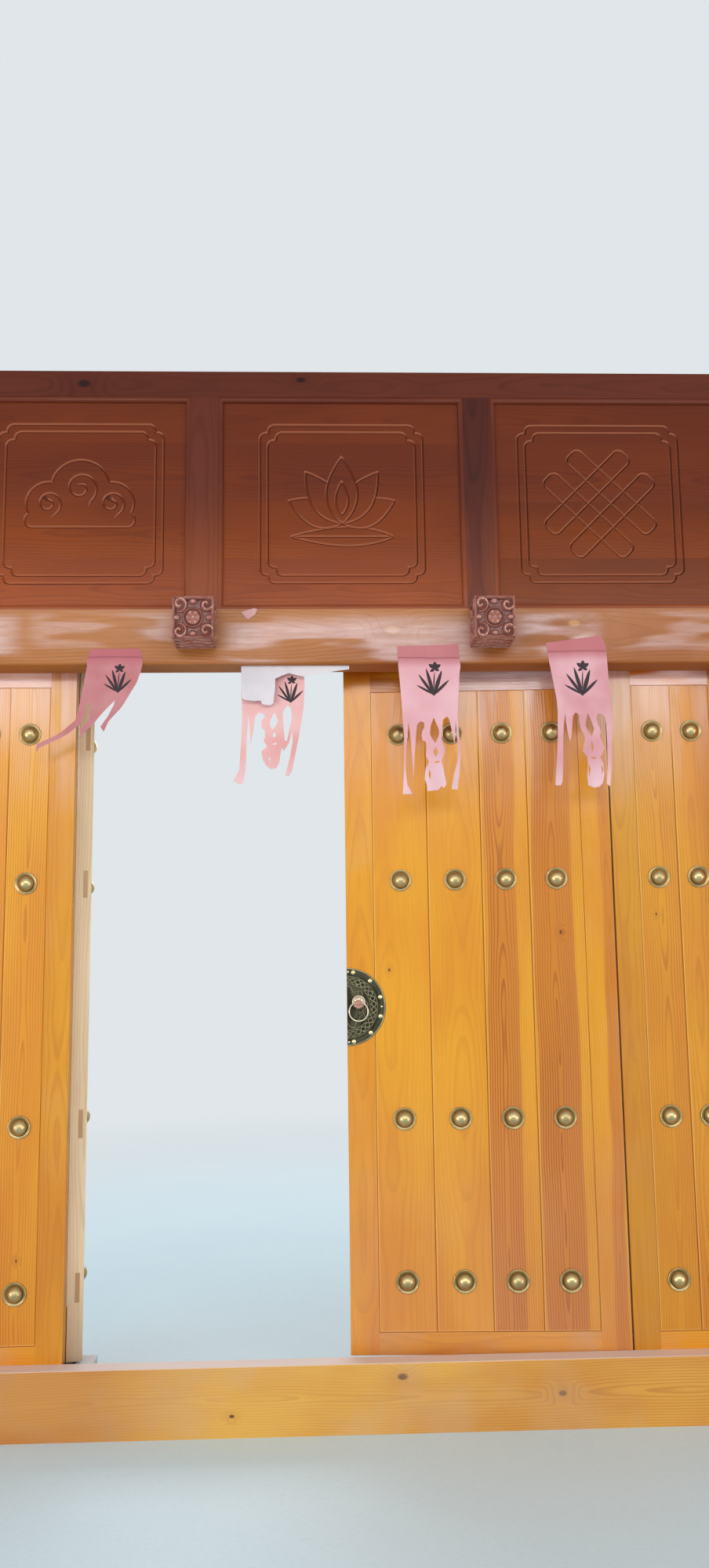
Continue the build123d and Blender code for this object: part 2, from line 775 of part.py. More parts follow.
def paper_pieces():
    """The paper hangings, by node name."""
    side = {"width": paper_width * side_paper_share, "length": side_paper_length}
    return {
        "paper_hanging_1": lintel_paper(0, (0.62, 0.8, 0.55, 0.7), lean=-8, **side),
        "paper_hanging_2": soffit_paper(1, (0.92, 0.55, 0.9, 1.0, 0.75)),
        "paper_hanging_3": lintel_paper(2, (1.0, 0.66, 0.9, 1.0, 0.98)),
        "paper_hanging_4": lintel_paper(3, (0.97, 0.7, 0.88, 0.98, 1.0), lean=1.5),
        "paper_strip": soffit_strip(),
    }


for node, node_pieces in {**frame_pieces(), **side_panel_pieces(), **leaf_pieces(), **paper_pieces()}.items():
    write(node, node_pieces)
print("ring swings about", ring_axis_point(), "leaves turn about", (pivot_x, pivot_y))
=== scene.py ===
import math
import bpy
import numpy as np
from mathutils import Matrix, Vector
from mathutils.geometry import delaunay_2d_cdt


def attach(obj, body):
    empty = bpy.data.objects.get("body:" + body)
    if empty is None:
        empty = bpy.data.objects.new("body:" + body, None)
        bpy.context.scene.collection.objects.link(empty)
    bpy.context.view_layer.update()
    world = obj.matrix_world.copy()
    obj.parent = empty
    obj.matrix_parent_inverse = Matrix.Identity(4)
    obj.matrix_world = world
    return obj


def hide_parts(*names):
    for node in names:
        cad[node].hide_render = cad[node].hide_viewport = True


# The looks of a carved temple door. Metres; X runs to the right, Y inwards, Z up.
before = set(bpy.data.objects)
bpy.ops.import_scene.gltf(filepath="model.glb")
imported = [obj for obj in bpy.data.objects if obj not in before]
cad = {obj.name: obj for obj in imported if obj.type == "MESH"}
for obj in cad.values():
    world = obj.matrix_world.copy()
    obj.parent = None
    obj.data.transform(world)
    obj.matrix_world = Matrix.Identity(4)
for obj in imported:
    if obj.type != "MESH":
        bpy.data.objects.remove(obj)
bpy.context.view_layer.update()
MM = 0.001
HANDS = {"left": -1, "right": 1}

# Sizes of the gate that the pieces here follow
PIVOT = Vector((0.8535, 0.049, 0))
LEFT_TURN, RIGHT_TURN = math.radians(105), math.radians(3.3)
DOOR_HALF = 0.8555
LEAF_FACE = 0.001
MEETING_EDGE, HINGE_EDGE = 0.003, 0.003
MEETING_STILE, HINGE_STILE = 0.0875, 0.0916
FIELD = DOOR_HALF - HINGE_EDGE - MEETING_EDGE - MEETING_STILE - HINGE_STILE
PLANKS = [FIELD * share for share in (0.2625, 0.2566, 0.2267, 0.2542)]
PLANK_STARTS = [MEETING_EDGE + MEETING_STILE + sum(PLANKS[:i]) for i in range(5)]
SIDE_STILE, SIDE_PLANK = 0.0805, 0.1275
LEAF_BOTTOM, LEAF_TOP = 0.184, 2.306
BATTENS = [LEAF_BOTTOM + (LEAF_TOP - LEAF_BOTTOM) * share for share in (0.0994, 0.3266, 0.6753, 0.8987)]
LINTEL_FACE = -0.112
LINTEL_BOTTOM, LINTEL_TOP, HEADER_TOP = 2.291, 2.469, 3.181
FIELD_FACE, FIELD_BACK = -0.098, -0.072
PLATE_RADIUS, PLATE_HEIGHT = 0.121, 1.2215
BOSS = (0.040, 1.2365)
RING_AXIS_Y = -0.014
MIRROR = Matrix.Diagonal((-1, 1, 1, 1))


def turned_about(point, angle):
    return Matrix.Translation(point) @ Matrix.Rotation(angle, 4, "Z") @ Matrix.Translation(-point)


# Where each body's pieces go: from the closed, right-hand place to the place at rest
PLACES = {
    "right_leaf": turned_about(PIVOT, -RIGHT_TURN),
    "left_leaf": turned_about(Vector((-PIVOT.x, PIVOT.y, 0)), LEFT_TURN) @ MIRROR,
    "right_side": Matrix.Identity(4),
    "left_side": MIRROR,
}


# Colours and node helpers
def srgb(r, g, b):
    """A colour as it looks on a screen, 0 to 255, in Blender's linear values."""
    return tuple((c / 255 / 12.92) if c < 11 else ((c / 255 + 0.055) / 1.055) ** 2.4 for c in (r, g, b)) + (1,)


class Wire:
    """A node's output. Its sums add Math nodes; the wire stands on their left."""

    def __init__(self, nodes, socket):
        self.nodes, self.socket = nodes, socket

    def __add__(self, other):
        return self.nodes.math("ADD", self, other)

    def __sub__(self, other):
        return self.nodes.math("SUBTRACT", self, other)

    def __mul__(self, other):
        return self.nodes.math("MULTIPLY", self, other)

    def __truediv__(self, other):
        return self.nodes.math("DIVIDE", self, other)


class Nodes:
    """A node tree and short calls that add its nodes."""

    def __init__(self, tree):
        self.tree = tree

    def add(self, kind, inputs=(), **settings):
        node = self.tree.nodes.new("ShaderNode" + kind)
        for key, value in settings.items():
            setattr(node, key, value)
        for key, value in dict(inputs).items():
            self.set(node.inputs[key], value)
        return node

    def out(self, kind, inputs=(), output=0, **settings):
        return Wire(self, self.add(kind, inputs, **settings).outputs[output])

    def set(self, socket, value):
        if isinstance(value, Wire):
            self.tree.links.new(value.socket, socket)
        else:
            socket.default_value = value

    def math(self, operation, a, b=0.0, clamp=False):
        return self.out("Math", {0: a, 1: b}, operation=operation, use_clamp=clamp)

    def highest(self, a, b):
        return self.math("MAXIMUM", a, b)

    def vector(self, operation, a, b=(0, 0, 0), output=0):
        return self.out("VectorMath", {0: a, 1: b}, output, operation=operation)

    def length(self, a):
        return self.vector("LENGTH", a, output=1)

    def dot(self, a, b):
        return self.vector("DOT_PRODUCT", a, b, output=1)

    def xyz(self, x=0.0, y=0.0, z=0.0):
        return self.out("CombineXYZ", {0: x, 1: y, 2: z})

    def parts(self, vector):
        return [Wire(self, part) for part in self.add("SeparateXYZ", {0: vector}).outputs]

    def mix(self, factor, a, b, blend="MIX"):
        a, b = (srgb(*colour) if isinstance(colour, tuple) else colour for colour in (a, b))
        return self.out("Mix", {0: factor, 6: a, 7: b}, 2, data_type="RGBA", blend_type=blend)

    def smooth(self, value, low, high, to_low=0.0, to_high=1.0):
        inputs = {0: value, 1: low, 2: high, 3: to_low, 4: to_high}
        return self.out("MapRange", inputs, interpolation_type="SMOOTHSTEP")

    def noise(self, vector, scale=1.0, detail=2.0, roughness=0.5):
        return self.out("TexNoise", {"Vector": vector, "Scale": scale, "Detail": detail, "Roughness": roughness})

    def place(self):
        return self.out("TexCoord", (), "Object")

    def normal(self):
        return self.out("TexCoord", (), "Normal")

    def attribute(self, name):
        return self.out("Attribute", (), "Fac", attribute_name=name)

    def seen(self):
        """1 for the rays that show the backdrop's own colour: the camera's, mirrors' and glass's."""
        rays = self.add("LightPath").outputs
        camera, mirror, glass = (Wire(self, rays[f"Is {kind} Ray"]) for kind in ("Camera", "Glossy", "Transmission"))
        return self.highest(camera, self.highest(mirror, glass))


class Finish(Nodes):
    """A material's nodes, and its colour, which starts plain and takes one tint after another."""

    def __init__(self, name, colour):
        self.material = bpy.data.materials.new(name)
        self.material.use_nodes = True
        super().__init__(self.material.node_tree)
        self.shader = self.tree.nodes["Principled BSDF"]
        self.colour = colour

    def tint(self, factor, colour, blend="MIX"):
        self.colour = self.mix(factor, self.colour, colour, blend)

    def clouds(self, *settings):
        """Noises at the point, each from its scale, detail and roughness."""
        position = self.place()
        return [self.noise(position, *each) for each in settings]

    def finish(self, roughness, height, depth=0.0005, metallic=0.0, **uniform):
        """Links the varying values to the shader, and sets what is the same all over on its own sockets."""
        self.set(self.shader.inputs["Base Color"], self.colour)
        self.set(self.shader.inputs["Roughness"], roughness)
        self.shader.inputs["Metallic"].default_value = metallic
        for key, value in uniform.items():
            self.shader.inputs[key.replace("_", " ")].default_value = value
        bump = self.out("Bump", {"Height": height, "Distance": depth, "Strength": 1.0})
        self.set(self.shader.inputs["Normal"], bump)
        return self.material


# Woods: the colours of their pale and darker parts, late wood, heartwood, knots and dust
HONEY = ((239, 164, 30), (228, 144, 22), (166, 86, 18), (208, 120, 30), (92, 42, 18), (214, 164, 120))
SILL = ((236, 180, 82), (218, 152, 64), (172, 100, 42), (216, 147, 62), (84, 34, 20), (212, 172, 130))
LINTEL = ((178, 106, 36), (160, 88, 26), (118, 56, 18), (168, 90, 36), (196, 136, 70), (186, 130, 96))
SHADED = ((156, 76, 34), (140, 64, 28), (102, 42, 22), (122, 52, 30), (60, 26, 22), (150, 96, 76))
WARM_SHADED = ((166, 78, 24), (149, 66, 20), *SHADED[2:])
BARE = ((242, 214, 176), (227, 195, 154), (184, 148, 108), (190, 152, 108), (120, 84, 52), (208, 192, 168))
WEATHERED = ((206, 208, 208), (192, 194, 193), (160, 158, 152), (188, 187, 183), (140, 136, 130), (210, 216, 219))
END_GRAIN = ((200, 158, 114), (180, 136, 96), (134, 96, 64), (136, 92, 60), (90, 60, 40), (170, 140, 110))
# One board of a wood: where it starts, the pith's place in it, how deep the pith lies, the heartwood's
# radius, how strongly the rings show, and its tone
PLAIN_BOARD = (0.0, 0.05, 0.09, 0.0, 0.16, 1.0)
RING_SPACING, RUN_EDGE = 0.0075, 0.05
# The first colour is the pale of painted sheen and of low dust, the second dust on tops, the third the bare edge's
# darker, greyer foot
SHEEN_AND_DUST_COLOUR, TOP_DUST, BARE_EDGE_FOOT = (226, 192, 190), (236, 224, 222), (172, 154, 130)
# Dark joint lines, painted pale as a highlight high up, and a pale painted highlight beside each joint
JOINT, HIGH_JOINT_PAINTED_HIGHLIGHT, JOINT_PAINTED_HIGHLIGHT = (134, 70, 20), (236, 196, 164), (250, 208, 134)
# Painted highlight and painted shade for the walls of carved grooves
GROOVE_PAINTED_HIGHLIGHT, GROOVE_PAINTED_SHADE = (222, 136, 98), (50, 18, 14)
MATT = {"Specular_IOR_Level": 0.17}


def wood(name, colours, seed, body=None, along="z", boards=(PLAIN_BOARD,), knots=(), bare_edges=False,
         gloss=0.2, shade=(), dusty=0.0, ripple=0.0005, lines=(), ends=(), dusty_top=0.0, wave=5.0,
         rough_under=0.0, bloom=(), bloom_edge=0.04, fades=(), carved=False, **uniform):
    """Varnished softwood: growth rings round a pith that wanders along the board, heartwood, fibres, knots
    (across, along, radius), joints with its neighbours (lines, ends) with a painted highlight beside them, painted
    shade (from, to, colour) by height, fades by length, and pale stretches (rise, fall, run, strength, grain across
    and along, cover) that are painted sheen standing in for reflections, and, low down, dust."""
    pale, darker, late_colour, heart_colour, knot_colour, dust_colour = colours
    n = Finish(name, pale)
    position = n.place()
    if body:
        turn, flip = (RIGHT_TURN, 1) if body == "right_leaf" else (LEFT_TURN, -1)
        back = PIVOT - Matrix.Rotation(turn, 3, "Z") @ PIVOT
        position = n.out("Mapping", {"Vector": position, "Location": back, "Rotation": (0, 0, turn),
                                     "Scale": (flip, 1, 1)})
    x, y, z = n.parts(position)
    raw, length = (x, z) if along == "z" else (z, x)
    steps = [n.math("GREATER_THAN", raw, board[0]) for board in boards[1:]]

    def per_board(values):
        total = values[0]
        for step, before, value in zip(steps, values, values[1:]):
            if value != before:
                total = step * (value - before) + total
        return total

    start, pith, depth, heart, figure, tone = (per_board(values) for values in zip(*boards))
    across = raw - start
    shift = per_board([seed + 7.3 * i for i in range(len(boards))])

    def grain(cross, long, detail=2.0, roughness=0.5):
        stretched = n.xyz(across * cross + shift, y * cross, length * long)
        return n.noise(stretched, detail=detail, roughness=roughness)

    def wander(offset, rate, amount):
        return (n.noise(n.xyz(n.math("ADD", shift, offset), 0.0, length * rate)) - 0.5) * amount

    knot_dark, knot_near = 0.0, 0.0
    for k_across, k_along, radius in knots:
        reach = n.length(n.xyz(raw - k_across, 0.0, (length - k_along) * 0.62)) / radius
        knot_dark = n.highest(knot_dark, n.smooth(reach, 1.25, 0.55))
        knot_near = n.highest(knot_near, n.smooth(reach, 5.5, 0.6))
    side = across - pith - wander(3.1, 1.1, 0.05)
    below = y + depth + wander(51.7, 1.3, 0.07)
    ring = grain(16.0, 3.0) * 0.006 + n.length(n.xyz(side, below))
    if knots:
        ring = knot_near * 0.02 + ring
    saw = n.math("FRACT", ring / RING_SPACING)
    late = n.smooth(saw, 0.45, 0.9) * n.smooth(saw, 1.0, 0.92)
    blur = (grain(60.0, 4.0) - 0.5) * 0.012
    inner = n.smooth(ring - heart + blur, 0.007, -0.005)
    fibre = grain(420.0, 6.0, 3, 0.6)
    patch = grain(4.5, 1.3, 3)
    n.tint(n.smooth(patch, 0.34, 0.66), darker)
    n.tint(inner * n.smooth(patch, 0.3, 0.7, 0.9, 0.5), heart_colour)
    strength = n.smooth(grain(6.0, 0.8, 1), 0.3, 0.7, 0.5, 1.3) * figure * (inner * 0.9 + 0.8)
    n.tint(late * strength, late_colour)
    n.tint(n.smooth(fibre, 0.25, 0.75, 0.14, 0.0), late_colour)
    if knots:
        n.tint(knot_near * 0.16, late_colour)
        n.tint(knot_dark * 0.9, knot_colour)
    if dusty:
        n.tint(n.smooth(n.noise(position, 5.0, 4), 0.42, 0.7, 0.0, dusty), dust_colour)
    level = n.noise(position, 2.2) * 0.16 + (z - 0.08)
    for low, high, dark in shade:
        n.tint(n.smooth(level, low, high), dark, "MULTIPLY")
    if tone != 1.0:
        n.tint(1.0, n.out("CombineColor", {0: tone, 1: tone, 2: tone}), "MULTIPLY")
    for start_x, end_x, dark in fades:
        n.tint(n.smooth(length, start_x, end_x), dark, "MULTIPLY")
    rough = n.smooth(patch, 0.25, 0.8, gloss, gloss + 0.1) + fibre * 0.05
    # Painted sheen: pale stretches that stand in for reflections and are glossier where they lie; the low entries are
    # dust
    sheen_and_dust_mask = 0.0
    for rise, fall, run, amount, cross, long, cut in bloom:
        streak = n.smooth(grain(cross, long, 1.5), cut - bloom_edge, cut + bloom_edge)
        streak = streak * n.smooth(grain(cross * 5, long * 3), 0.3, 0.7, 0.6, 1.0)
        window = n.smooth(z, *rise) * n.smooth(z, fall[1], fall[0], 0.0, amount)
        if run:
            window = window * n.smooth(length, run[0] - RUN_EDGE, run[0] + RUN_EDGE)
            window = window * n.smooth(length, run[1] + RUN_EDGE, run[1] - RUN_EDGE)
        sheen_and_dust_mask = n.highest(sheen_and_dust_mask, window * streak)
    if bloom:
        n.tint(sheen_and_dust_mask, SHEEN_AND_DUST_COLOUR)
        rough = sheen_and_dust_mask * (-1.2 * (gloss - 0.08)) + rough
    normal = n.normal()
    # Painted light on carved grooves: walls facing down and out are painted lighter as a highlight, walls facing up
    # darker as shade
    if carved:
        tilt = n.dot(normal, (0.42, 0.0, -0.91))
        n.tint(n.smooth(tilt, 0.04, 0.4, 0.0, 0.36), GROOVE_PAINTED_HIGHLIGHT)
        n.tint(n.smooth(tilt, -0.04, -0.4, 0.0, 0.8), GROOVE_PAINTED_SHADE)
    if lines or ends:
        gap, beside = 1.0, 1.0
        for axis, places in ((raw, lines), (length, ends)):
            for place in places:
                off = axis - place
                gap = n.math("MINIMUM", gap, n.math("ABSOLUTE", off))
                beside = n.math("MINIMUM", beside, n.math("ABSOLUTE", off - 0.003))
        # A painted highlight beside each joint; from about 2 m up the joint line itself is painted pale as a highlight
        n.tint(n.smooth(beside, 0.0022, 0.0006, 0.0, 0.45), JOINT_PAINTED_HIGHLIGHT)
        joint = n.mix(n.smooth(z, 1.98, 2.12), JOINT, HIGH_JOINT_PAINTED_HIGHLIGHT)
        n.tint(n.smooth(gap, 0.0018, 0.0006, 0.0, 0.6), joint)
    if dusty_top:
        up = n.smooth(n.parts(normal)[2], 0.4, 0.9, 0.0, dusty_top)
        n.tint(up, TOP_DUST)
        rough = up * 0.4 + rough
    if rough_under:
        rough = n.smooth(n.parts(normal)[2], -0.4, -0.9) * rough_under + rough
    if bare_edges:
        angle = -RIGHT_TURN if body == "right_leaf" else LEFT_TURN
        facing = n.dot(normal, (math.cos(angle), math.sin(angle), 0))
        mask = n.smooth(n.math("ABSOLUTE", facing), 0.8, 0.9)
        raw_wood = n.mix(n.smooth(patch, 0.3, 0.72), BARE[0], BARE[1])
        raw_wood = n.mix(late * 0.3, raw_wood, BARE[2])
        raw_wood = n.mix(n.smooth(fibre, 0.25, 0.75, 0.22, 0.0), raw_wood, BARE[2])
        # The bare edge is darker and greyer towards the bottom
        raw_wood = n.mix(n.smooth(z, 0.50, 0.14, 0.0, 0.6), raw_wood, BARE_EDGE_FOOT)
        n.tint(mask, raw_wood)
        rough = mask * 0.45 + rough
    swell = grain(wave, wave * 0.5)
    return n.finish(rough, swell + (fibre + late) * 0.1, ripple, **uniform)


# Metals, lacquer and paper
def brass(name, bright, dull, dark, rough, tarnish):
    """Aged brass: polished where hands reach, dull and brown elsewhere."""
    n = Finish(name, bright)
    cloud, speck = n.clouds((60.0, 4, 0.6), (540.0, 3, 0.65))
    n.tint(n.smooth(cloud, 0.35, 0.7, 0.0, tarnish), dull)
    n.tint(n.smooth(speck, 0.56, 0.78, 0.0, 0.55), dark)
    roughness = n.smooth(cloud, 0.3, 0.75, rough, rough + 0.16) + speck * 0.08
    return n.finish(roughness, cloud + speck * 0.3, 0.0003, metallic=1.0)


def worn_brass(name, sunk, rubbed, dull, speckle, relief=0.0001, rough=0.26):
    """Cast brass whose sunk parts are one colour and whose rubbed parts another, after the mesh's own wear."""
    n = Finish(name, sunk)
    cloud, speck = n.clouds((34.0, 3, 0.55), (300.0, 3, 0.6))
    n.tint(n.attribute("worn"), rubbed)
    n.tint(n.smooth(cloud, 0.4, 0.68, 0.0, 0.5), dull)
    n.tint(n.smooth(speck, 0.6, 0.8, 0.0, 0.35), speckle)
    roughness = n.smooth(cloud, 0.3, 0.75, rough, rough + 0.14) + speck * 0.05
    return n.finish(roughness, speck * 0.2 + cloud, relief, metallic=1.0)


def iron(name):
    """Forged iron with a thin brown bloom of rust."""
    n = Finish(name, (70, 66, 64))
    cloud, speck = n.clouds((45.0, 5, 0.6), (420.0, 3, 0.6))
    n.tint(n.smooth(cloud, 0.42, 0.66), (112, 74, 52))
    n.tint(n.smooth(speck, 0.5, 0.8, 0.0, 0.5), (58, 40, 34))
    return n.finish(n.smooth(cloud, 0.3, 0.7, 0.45, 0.75), cloud + speck, 0.0004, metallic=0.6)


def lacquer(name):
    """Dusty red-brown lacquer on the carved pins, with painted shade in the carving's recesses and a painted highlight
    where it stands out.
    """
    n = Finish(name, (150, 84, 68))
    cloud, fine = n.clouds((26.0, 4, 0.6), (150.0, 4, 0.6))
    height = n.attribute("relief")
    n.tint(n.smooth(cloud, 0.35, 0.7), (170, 108, 96))
    # Painted shade: the carving's recesses are darker
    n.tint(n.smooth(height, 0.55, 0.05, 0.0, 0.8), (88, 36, 28))
    # Painted highlight: the carving's high points are pale, in patches
    worn = n.smooth(height, 0.7, 1.0) * n.smooth(fine, 0.42, 0.62)
    n.tint(worn * 0.75, (226, 186, 166))
    n.tint(n.smooth(fine, 0.58, 0.8, 0.0, 0.5), (150, 76, 44))
    return n.finish(n.smooth(cloud, 0.3, 0.75, 0.22, 0.42), fine + cloud)


INK, PAPER_END, FOLD_LINE = (26, 16, 24), (250, 216, 220), (140, 66, 84)


def paper(name, base, faded, strokes=(), top=None):
    """Thin dyed paper, faded and creased: strokes are brush marks (x0, z0, x1, z1, half width), top the
    level above which it takes the darker colour of a part folded double, and that colour."""
    n = Finish(name, base)
    position = n.place()
    x, _, z = n.parts(position)
    crease = n.noise(n.xyz(x * 55.0, 0.0, z * 14.0), 1.0, 3, 0.6)
    fibre = n.noise(position, 700.0, 3, 0.6)
    n.tint(n.smooth(n.noise(position, 7.0), 0.32, 0.7), faded)
    n.tint(n.smooth(crease, 0.58, 0.72, 0.0, 0.2), faded)
    n.tint(n.smooth(z, 2.02, 1.90, 0.0, 0.5), PAPER_END)
    if top:
        level, darker = top
        wave = n.noise(position, 12.0) * 0.008 + z
        n.tint(n.smooth(wave, level - 0.04, level + 0.004, 0.0, 0.8), darker)
        band = n.smooth(wave, level - 0.003, level) * n.smooth(wave, level + 0.004, level + 0.001)
        n.tint(band * 0.6, FOLD_LINE)
    mask = 0.0
    for x0, z0, x1, z1, half in strokes:
        run = Vector((x1 - x0, 0, z1 - z0))
        off = n.vector("SUBTRACT", n.xyz(x, 0.0, z), (x0, 0, z0))
        share = n.math("DIVIDE", n.dot(off, tuple(run)), run.length_squared, clamp=True)
        foot = n.out("VectorMath", {0: tuple(run), 3: share}, operation="SCALE")
        away = n.length(n.vector("SUBTRACT", off, foot))
        thick = n.math("POWER", n.math("SINE", share * 2.7 + 0.35), 0.6) * half
        mask = n.highest(mask, n.smooth((fibre - 0.5) * 0.0028 + (thick - away), -0.0004, 0.0012))
    if strokes:
        n.tint(mask * 0.97, INK)
    return n.finish(n.smooth(fibre, 0.3, 0.7, 0.62, 0.8), crease * 2.0 + fibre, 0.0009)


# Mesh helpers
def moved(points, place):
    m = np.array(place)
    return np.asarray(points, float) @ m[:3, :3].T + m[:3, 3]


def in_scene(name, data):
    """A new object in the scene."""
    thing = bpy.data.objects.new(name, data)
    bpy.context.scene.collection.objects.link(thing)
    return thing


def mesh_of(name, points, faces, material):
    mesh = bpy.data.meshes.new(name)
    mesh.from_pydata(points, [], faces)
    mesh.validate()
    mesh.materials.append(material)
    return mesh


def new_piece(name, points, faces, material, body, slot, replaced=(), smooth=True, place=None):
    """A piece from points in metres and faces, riding on its body."""
    points = np.asarray(points, float)
    if place is not None:
        points = moved(points, place)
        if place.determinant() < 0:
            faces = [tuple(reversed(f)) for f in faces]
    mesh = mesh_of(name, points.tolist(), [tuple(int(i) for i in f) for f in faces], material)
    mesh.polygons.foreach_set("use_smooth", [smooth] * len(mesh.polygons))
    mesh.update()
    piece = in_scene(name, mesh)
    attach(piece, body)
    if replaced:
        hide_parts(*replaced)
    return piece


def set_wear(piece, values, name="worn"):
    """Stores one value for each point of a piece, which its material reads."""
    attribute = piece.data.attributes.new(name, "FLOAT", "POINT")
    attribute.data.foreach_set("value", np.asarray(values, np.float32))


def quads(rows, columns, base=0, loop_rows=False, loop_columns=False, turned=False):
    """Faces of a grid of points, row after row; a way that loops closes on itself."""
    faces = []
    for i in range(rows if loop_rows else rows - 1):
        a, b = base + i * columns, base + (i + 1) % rows * columns
        for k in range(columns if loop_columns else columns - 1):
            j = (k + 1) % columns
            faces.append((a + k, b + k, b + j, a + j) if turned else (a + k, a + j, b + j, b + k))
    return faces


def lathe(profile, sides, shape=None, foot=True):
    """Points and faces of a form turned about +Z. Its profile of (radius, height) runs from foot to tip, and
    shape(radius, height, angle) may change it on the way round."""
    points = []
    for r, h in profile:
        for k in range(sides):
            a = 2 * math.pi * k / sides
            reach, level = shape(r, h, a) if shape else (r, h)
            points.append((reach * math.cos(a), reach * math.sin(a), level))
    faces = quads(len(profile), sides, loop_columns=True)
    if foot:
        faces.append(tuple(reversed(range(sides))))
    faces.append(tuple(range(len(points) - sides, len(points))))
    return np.array(points), faces


def dome(radius, rise, base, angles):
    """The profile of a dome above its base, from its edge to its top."""
    return [(radius * math.cos(a), base + rise * math.sin(a)) for a in angles]


def facing_front(x, y, z):
    """Turns a form that stands along +Z so that it points to the front, at a place."""
    return Matrix.Translation((x, y, z)) @ Matrix.Rotation(math.radians(90), 4, "X")


def together(*forms):
    """Several forms as one."""
    faces, base = [], 0
    for points, own in forms:
        faces += [tuple(i + base for i in face) for face in own]
        base += len(points)
    return np.concatenate([np.asarray(points, float) for points, _ in forms]), faces


def gathered(form, places):
    """Copies of one form at several places, as one form."""
    return together(*((moved(form[0], place), form[1]) for place in places))


def box_form(low, high):
    """A plain block between two corners."""
    points = [(x, y, z) for x in (low[0], high[0]) for y in (low[1], high[1]) for z in (low[2], high[2])]
    return np.array(points), [(0, 1, 3, 2), (4, 6, 7, 5), (0, 4, 5, 1), (2, 3, 7, 6), (0, 2, 6, 4), (1, 5, 7, 3)]


# Finishes of the CAD nodes that stay
def dress(part, material):
    cad[part].data.materials.clear()
    cad[part].data.materials.append(material)


def dress_wood(part, colours, seed, **options):
    dress(part, wood(part + "_wood", colours, seed, **options))


# Boards, painted shade, painted sheen, dust and knots as wood() reads them
LEAF_BOARDS = {
    "right": ((0.05, 0.10, 0.0, 0.16, 1.0), (0.10, 0.08, 0.0, 0.2, 0.985), (0.056, 0.012, 0.052, 0.50, 0.98),
              (0.074, 0.008, 0.066, 0.60, 0.95)),
    "left": ((0.12, 0.09, 0.0, 0.2, 0.98), (0.07, 0.012, 0.052, 0.34, 0.95), (0.05, 0.10, 0.0, 0.18, 1.0),
             (0.10, 0.05, 0.06, 0.25, 0.97)),
}
LEAF_KNOTS = ((0.138, 1.335, 0.0035), (PLANK_STARTS[3] + PLANKS[3] / 2 + 0.007, 1.447, 0.0045))
LEAF_SHADE = ((2.22, 2.32, (190, 128, 120)), (1.15, 0.35, (247, 240, 240)))
ALWAYS, NEVER = (-2.0, -1.0), (8.0, 9.0)
LOW_DUST = (ALWAYS, (0.24, 1.15), (), 0.10, 1.0, 1.0, -1.0)
# Painted sheen: pale streaks on the upper planks, stiles and top rails that stand in for reflections; LOW_DUST is dust
# low down
HIGH_PAINTED_SHEEN = (((1.98, 2.2), NEVER, (), 0.42, 8.0, 0.7, 0.49), ((1.82, 2.06), NEVER, (), 0.15, 12.0, 0.9, 0.5))
STILE_PAINTED_SHEEN = (((1.98, 2.16), NEVER, (), 0.45, 9.0, 1.6, 0.46), ((1.80, 1.98), NEVER, (), 0.20, 7.0, 2.0, 0.5))
RAIL_PAINTED_SHEEN = (((2.19, 2.22), NEVER, (), 0.74, 8.0, 2.2, 0.42),)
SIDE_TONES = {"left": 0.98, "right": 0.88}
SIDE_KNOTS = {"left": ((-0.998, 0.489, 0.003),), "right": ((0.985, 1.5, 0.003),)}
SIDE_SPOTS = [DOOR_HALF + SIDE_STILE + SIDE_PLANK * k for k in range(3)]
